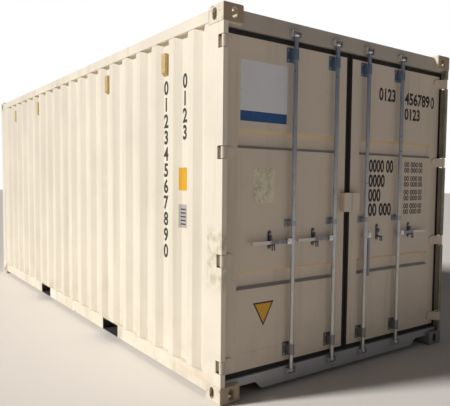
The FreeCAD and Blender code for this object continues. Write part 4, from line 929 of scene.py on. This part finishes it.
def post_beads():
    """Weld beads between the castings and the posts at the door end."""
    beads = bmesh.new()
    top_low, top_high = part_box("top_corner_fittings")
    bottom_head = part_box("bottom_corner_fittings")[1].z
    half, edge = 3 * MM, 1 * MM
    for sign in (-1, 1):
        out = sign * (top_high.x - 3 * MM)
        side_low, side_high = sorted((out + sign * 1.5 * MM, out - sign * 1 * MM))
        end_low, end_high = sorted((out, out - sign * 36 * MM))
        for level in (bottom_head, top_low.z):
            foot, head = level - half, level + half
            add_block(beads, (side_low, DOOR_END + 6 * MM, foot), (side_high, DOOR_END + 176 * MM, head), edge)
            add_block(beads, (end_low, DOOR_END + 1.5 * MM, foot), (end_high, DOOR_END + 4 * MM, head), edge)
    finish_piece(beads, "post_weld_beads", "container_shell", weld)


for side in ("left", "right"):
    wall_seams(side)
vent_screws()
roof_gussets()
floor_screws()
post_beads()

# ---------------------------------------------------------------- floor, light and camera


def stage_floor():
    """A wide plain floor just under the castings."""
    half, gap = 60.0, 1 * MM
    ground = bmesh.new()
    bmesh.ops.create_grid(ground, x_segments=1, y_segments=1, size=half)
    bmesh.ops.translate(ground, verts=ground.verts, vec=(0, 0, -gap))
    mesh = bpy.data.meshes.new("studio_floor")
    ground.to_mesh(mesh)
    ground.free()
    floor = bpy.data.objects.new("studio_floor", mesh)
    bpy.context.scene.collection.objects.link(floor)
    mesh.materials.append(Finish("pale_floor", (0.86, 0.80, 0.73), 0.9).material)


def aimed_lamp(name, kind, direction, power, color):
    """A lamp of one kind that shines in a direction."""
    lamp = bpy.data.lights.new(name, kind)
    lamp.energy = power
    lamp.color = color
    light = bpy.data.objects.new(name, lamp)
    bpy.context.scene.collection.objects.link(light)
    light.rotation_euler = Vector(direction).to_track_quat("-Z", "Y").to_euler()
    return light


def studio_light():
    """A broad soft key on the left side, a weak fill on the doors and an even pale surround."""
    key = aimed_lamp("key_light", "SUN", (0.80, -0.30, -0.52), 3.45, (0.985, 0.985, 1.0))
    key.data.angle = math.radians(9)
    place, target = Vector((2.5, -13.0, 6.0)), Vector((0, -3.0, 1.3))
    fill = aimed_lamp("door_fill", "AREA", target - place, 25, (1.0, 0.92, 0.88))
    fill.location = place
    fill.data.shape = "SQUARE"
    fill.data.size = 4.0
    world = bpy.data.worlds.new("studio")
    bpy.context.scene.world = world
    world.use_nodes = True
    tree = world.node_tree
    surround = tree.nodes["Background"]
    surround.inputs["Color"].default_value = (0.90, 0.92, 1.0, 1.0)
    surround.inputs["Strength"].default_value = 0.075
    backdrop = tree.nodes.new("ShaderNodeBackground")
    backdrop.inputs["Color"].default_value = (1.0, 1.0, 1.0, 1.0)
    seen = tree.nodes.new("ShaderNodeLightPath")
    mix = tree.nodes.new("ShaderNodeMixShader")
    tree.links.new(seen.outputs["Is Camera Ray"], mix.inputs["Fac"])
    tree.links.new(surround.outputs["Background"], mix.inputs[1])
    tree.links.new(backdrop.outputs["Background"], mix.inputs[2])
    tree.links.new(mix.outputs["Shader"], tree.nodes["World Output"].inputs["Surface"])


def low_camera():
    """Low three-quarter view of the doors and the left side."""
    heading, dip, roll = math.radians(-36.73), math.radians(-3.44), math.radians(0.68)
    lens = bpy.data.cameras.new("camera")
    lens.sensor_width = 36.0
    lens.lens = 42.6
    lens.shift_x = -0.0487
    lens.shift_y = 0.0191
    lens.clip_end = 200.0
    camera = bpy.data.objects.new("camera", lens)
    bpy.context.scene.collection.objects.link(camera)
    camera.location = (-3.111, -5.831, 1.478)
    turn = Euler((math.radians(90) + dip, 0, heading)).to_matrix()
    camera.rotation_euler = (turn @ Matrix.Rotation(roll, 3, "Z")).to_euler()
    bpy.context.scene.camera = camera


stage_floor()
studio_light()
low_camera()
bpy.context.scene.view_settings.view_transform = "Standard"
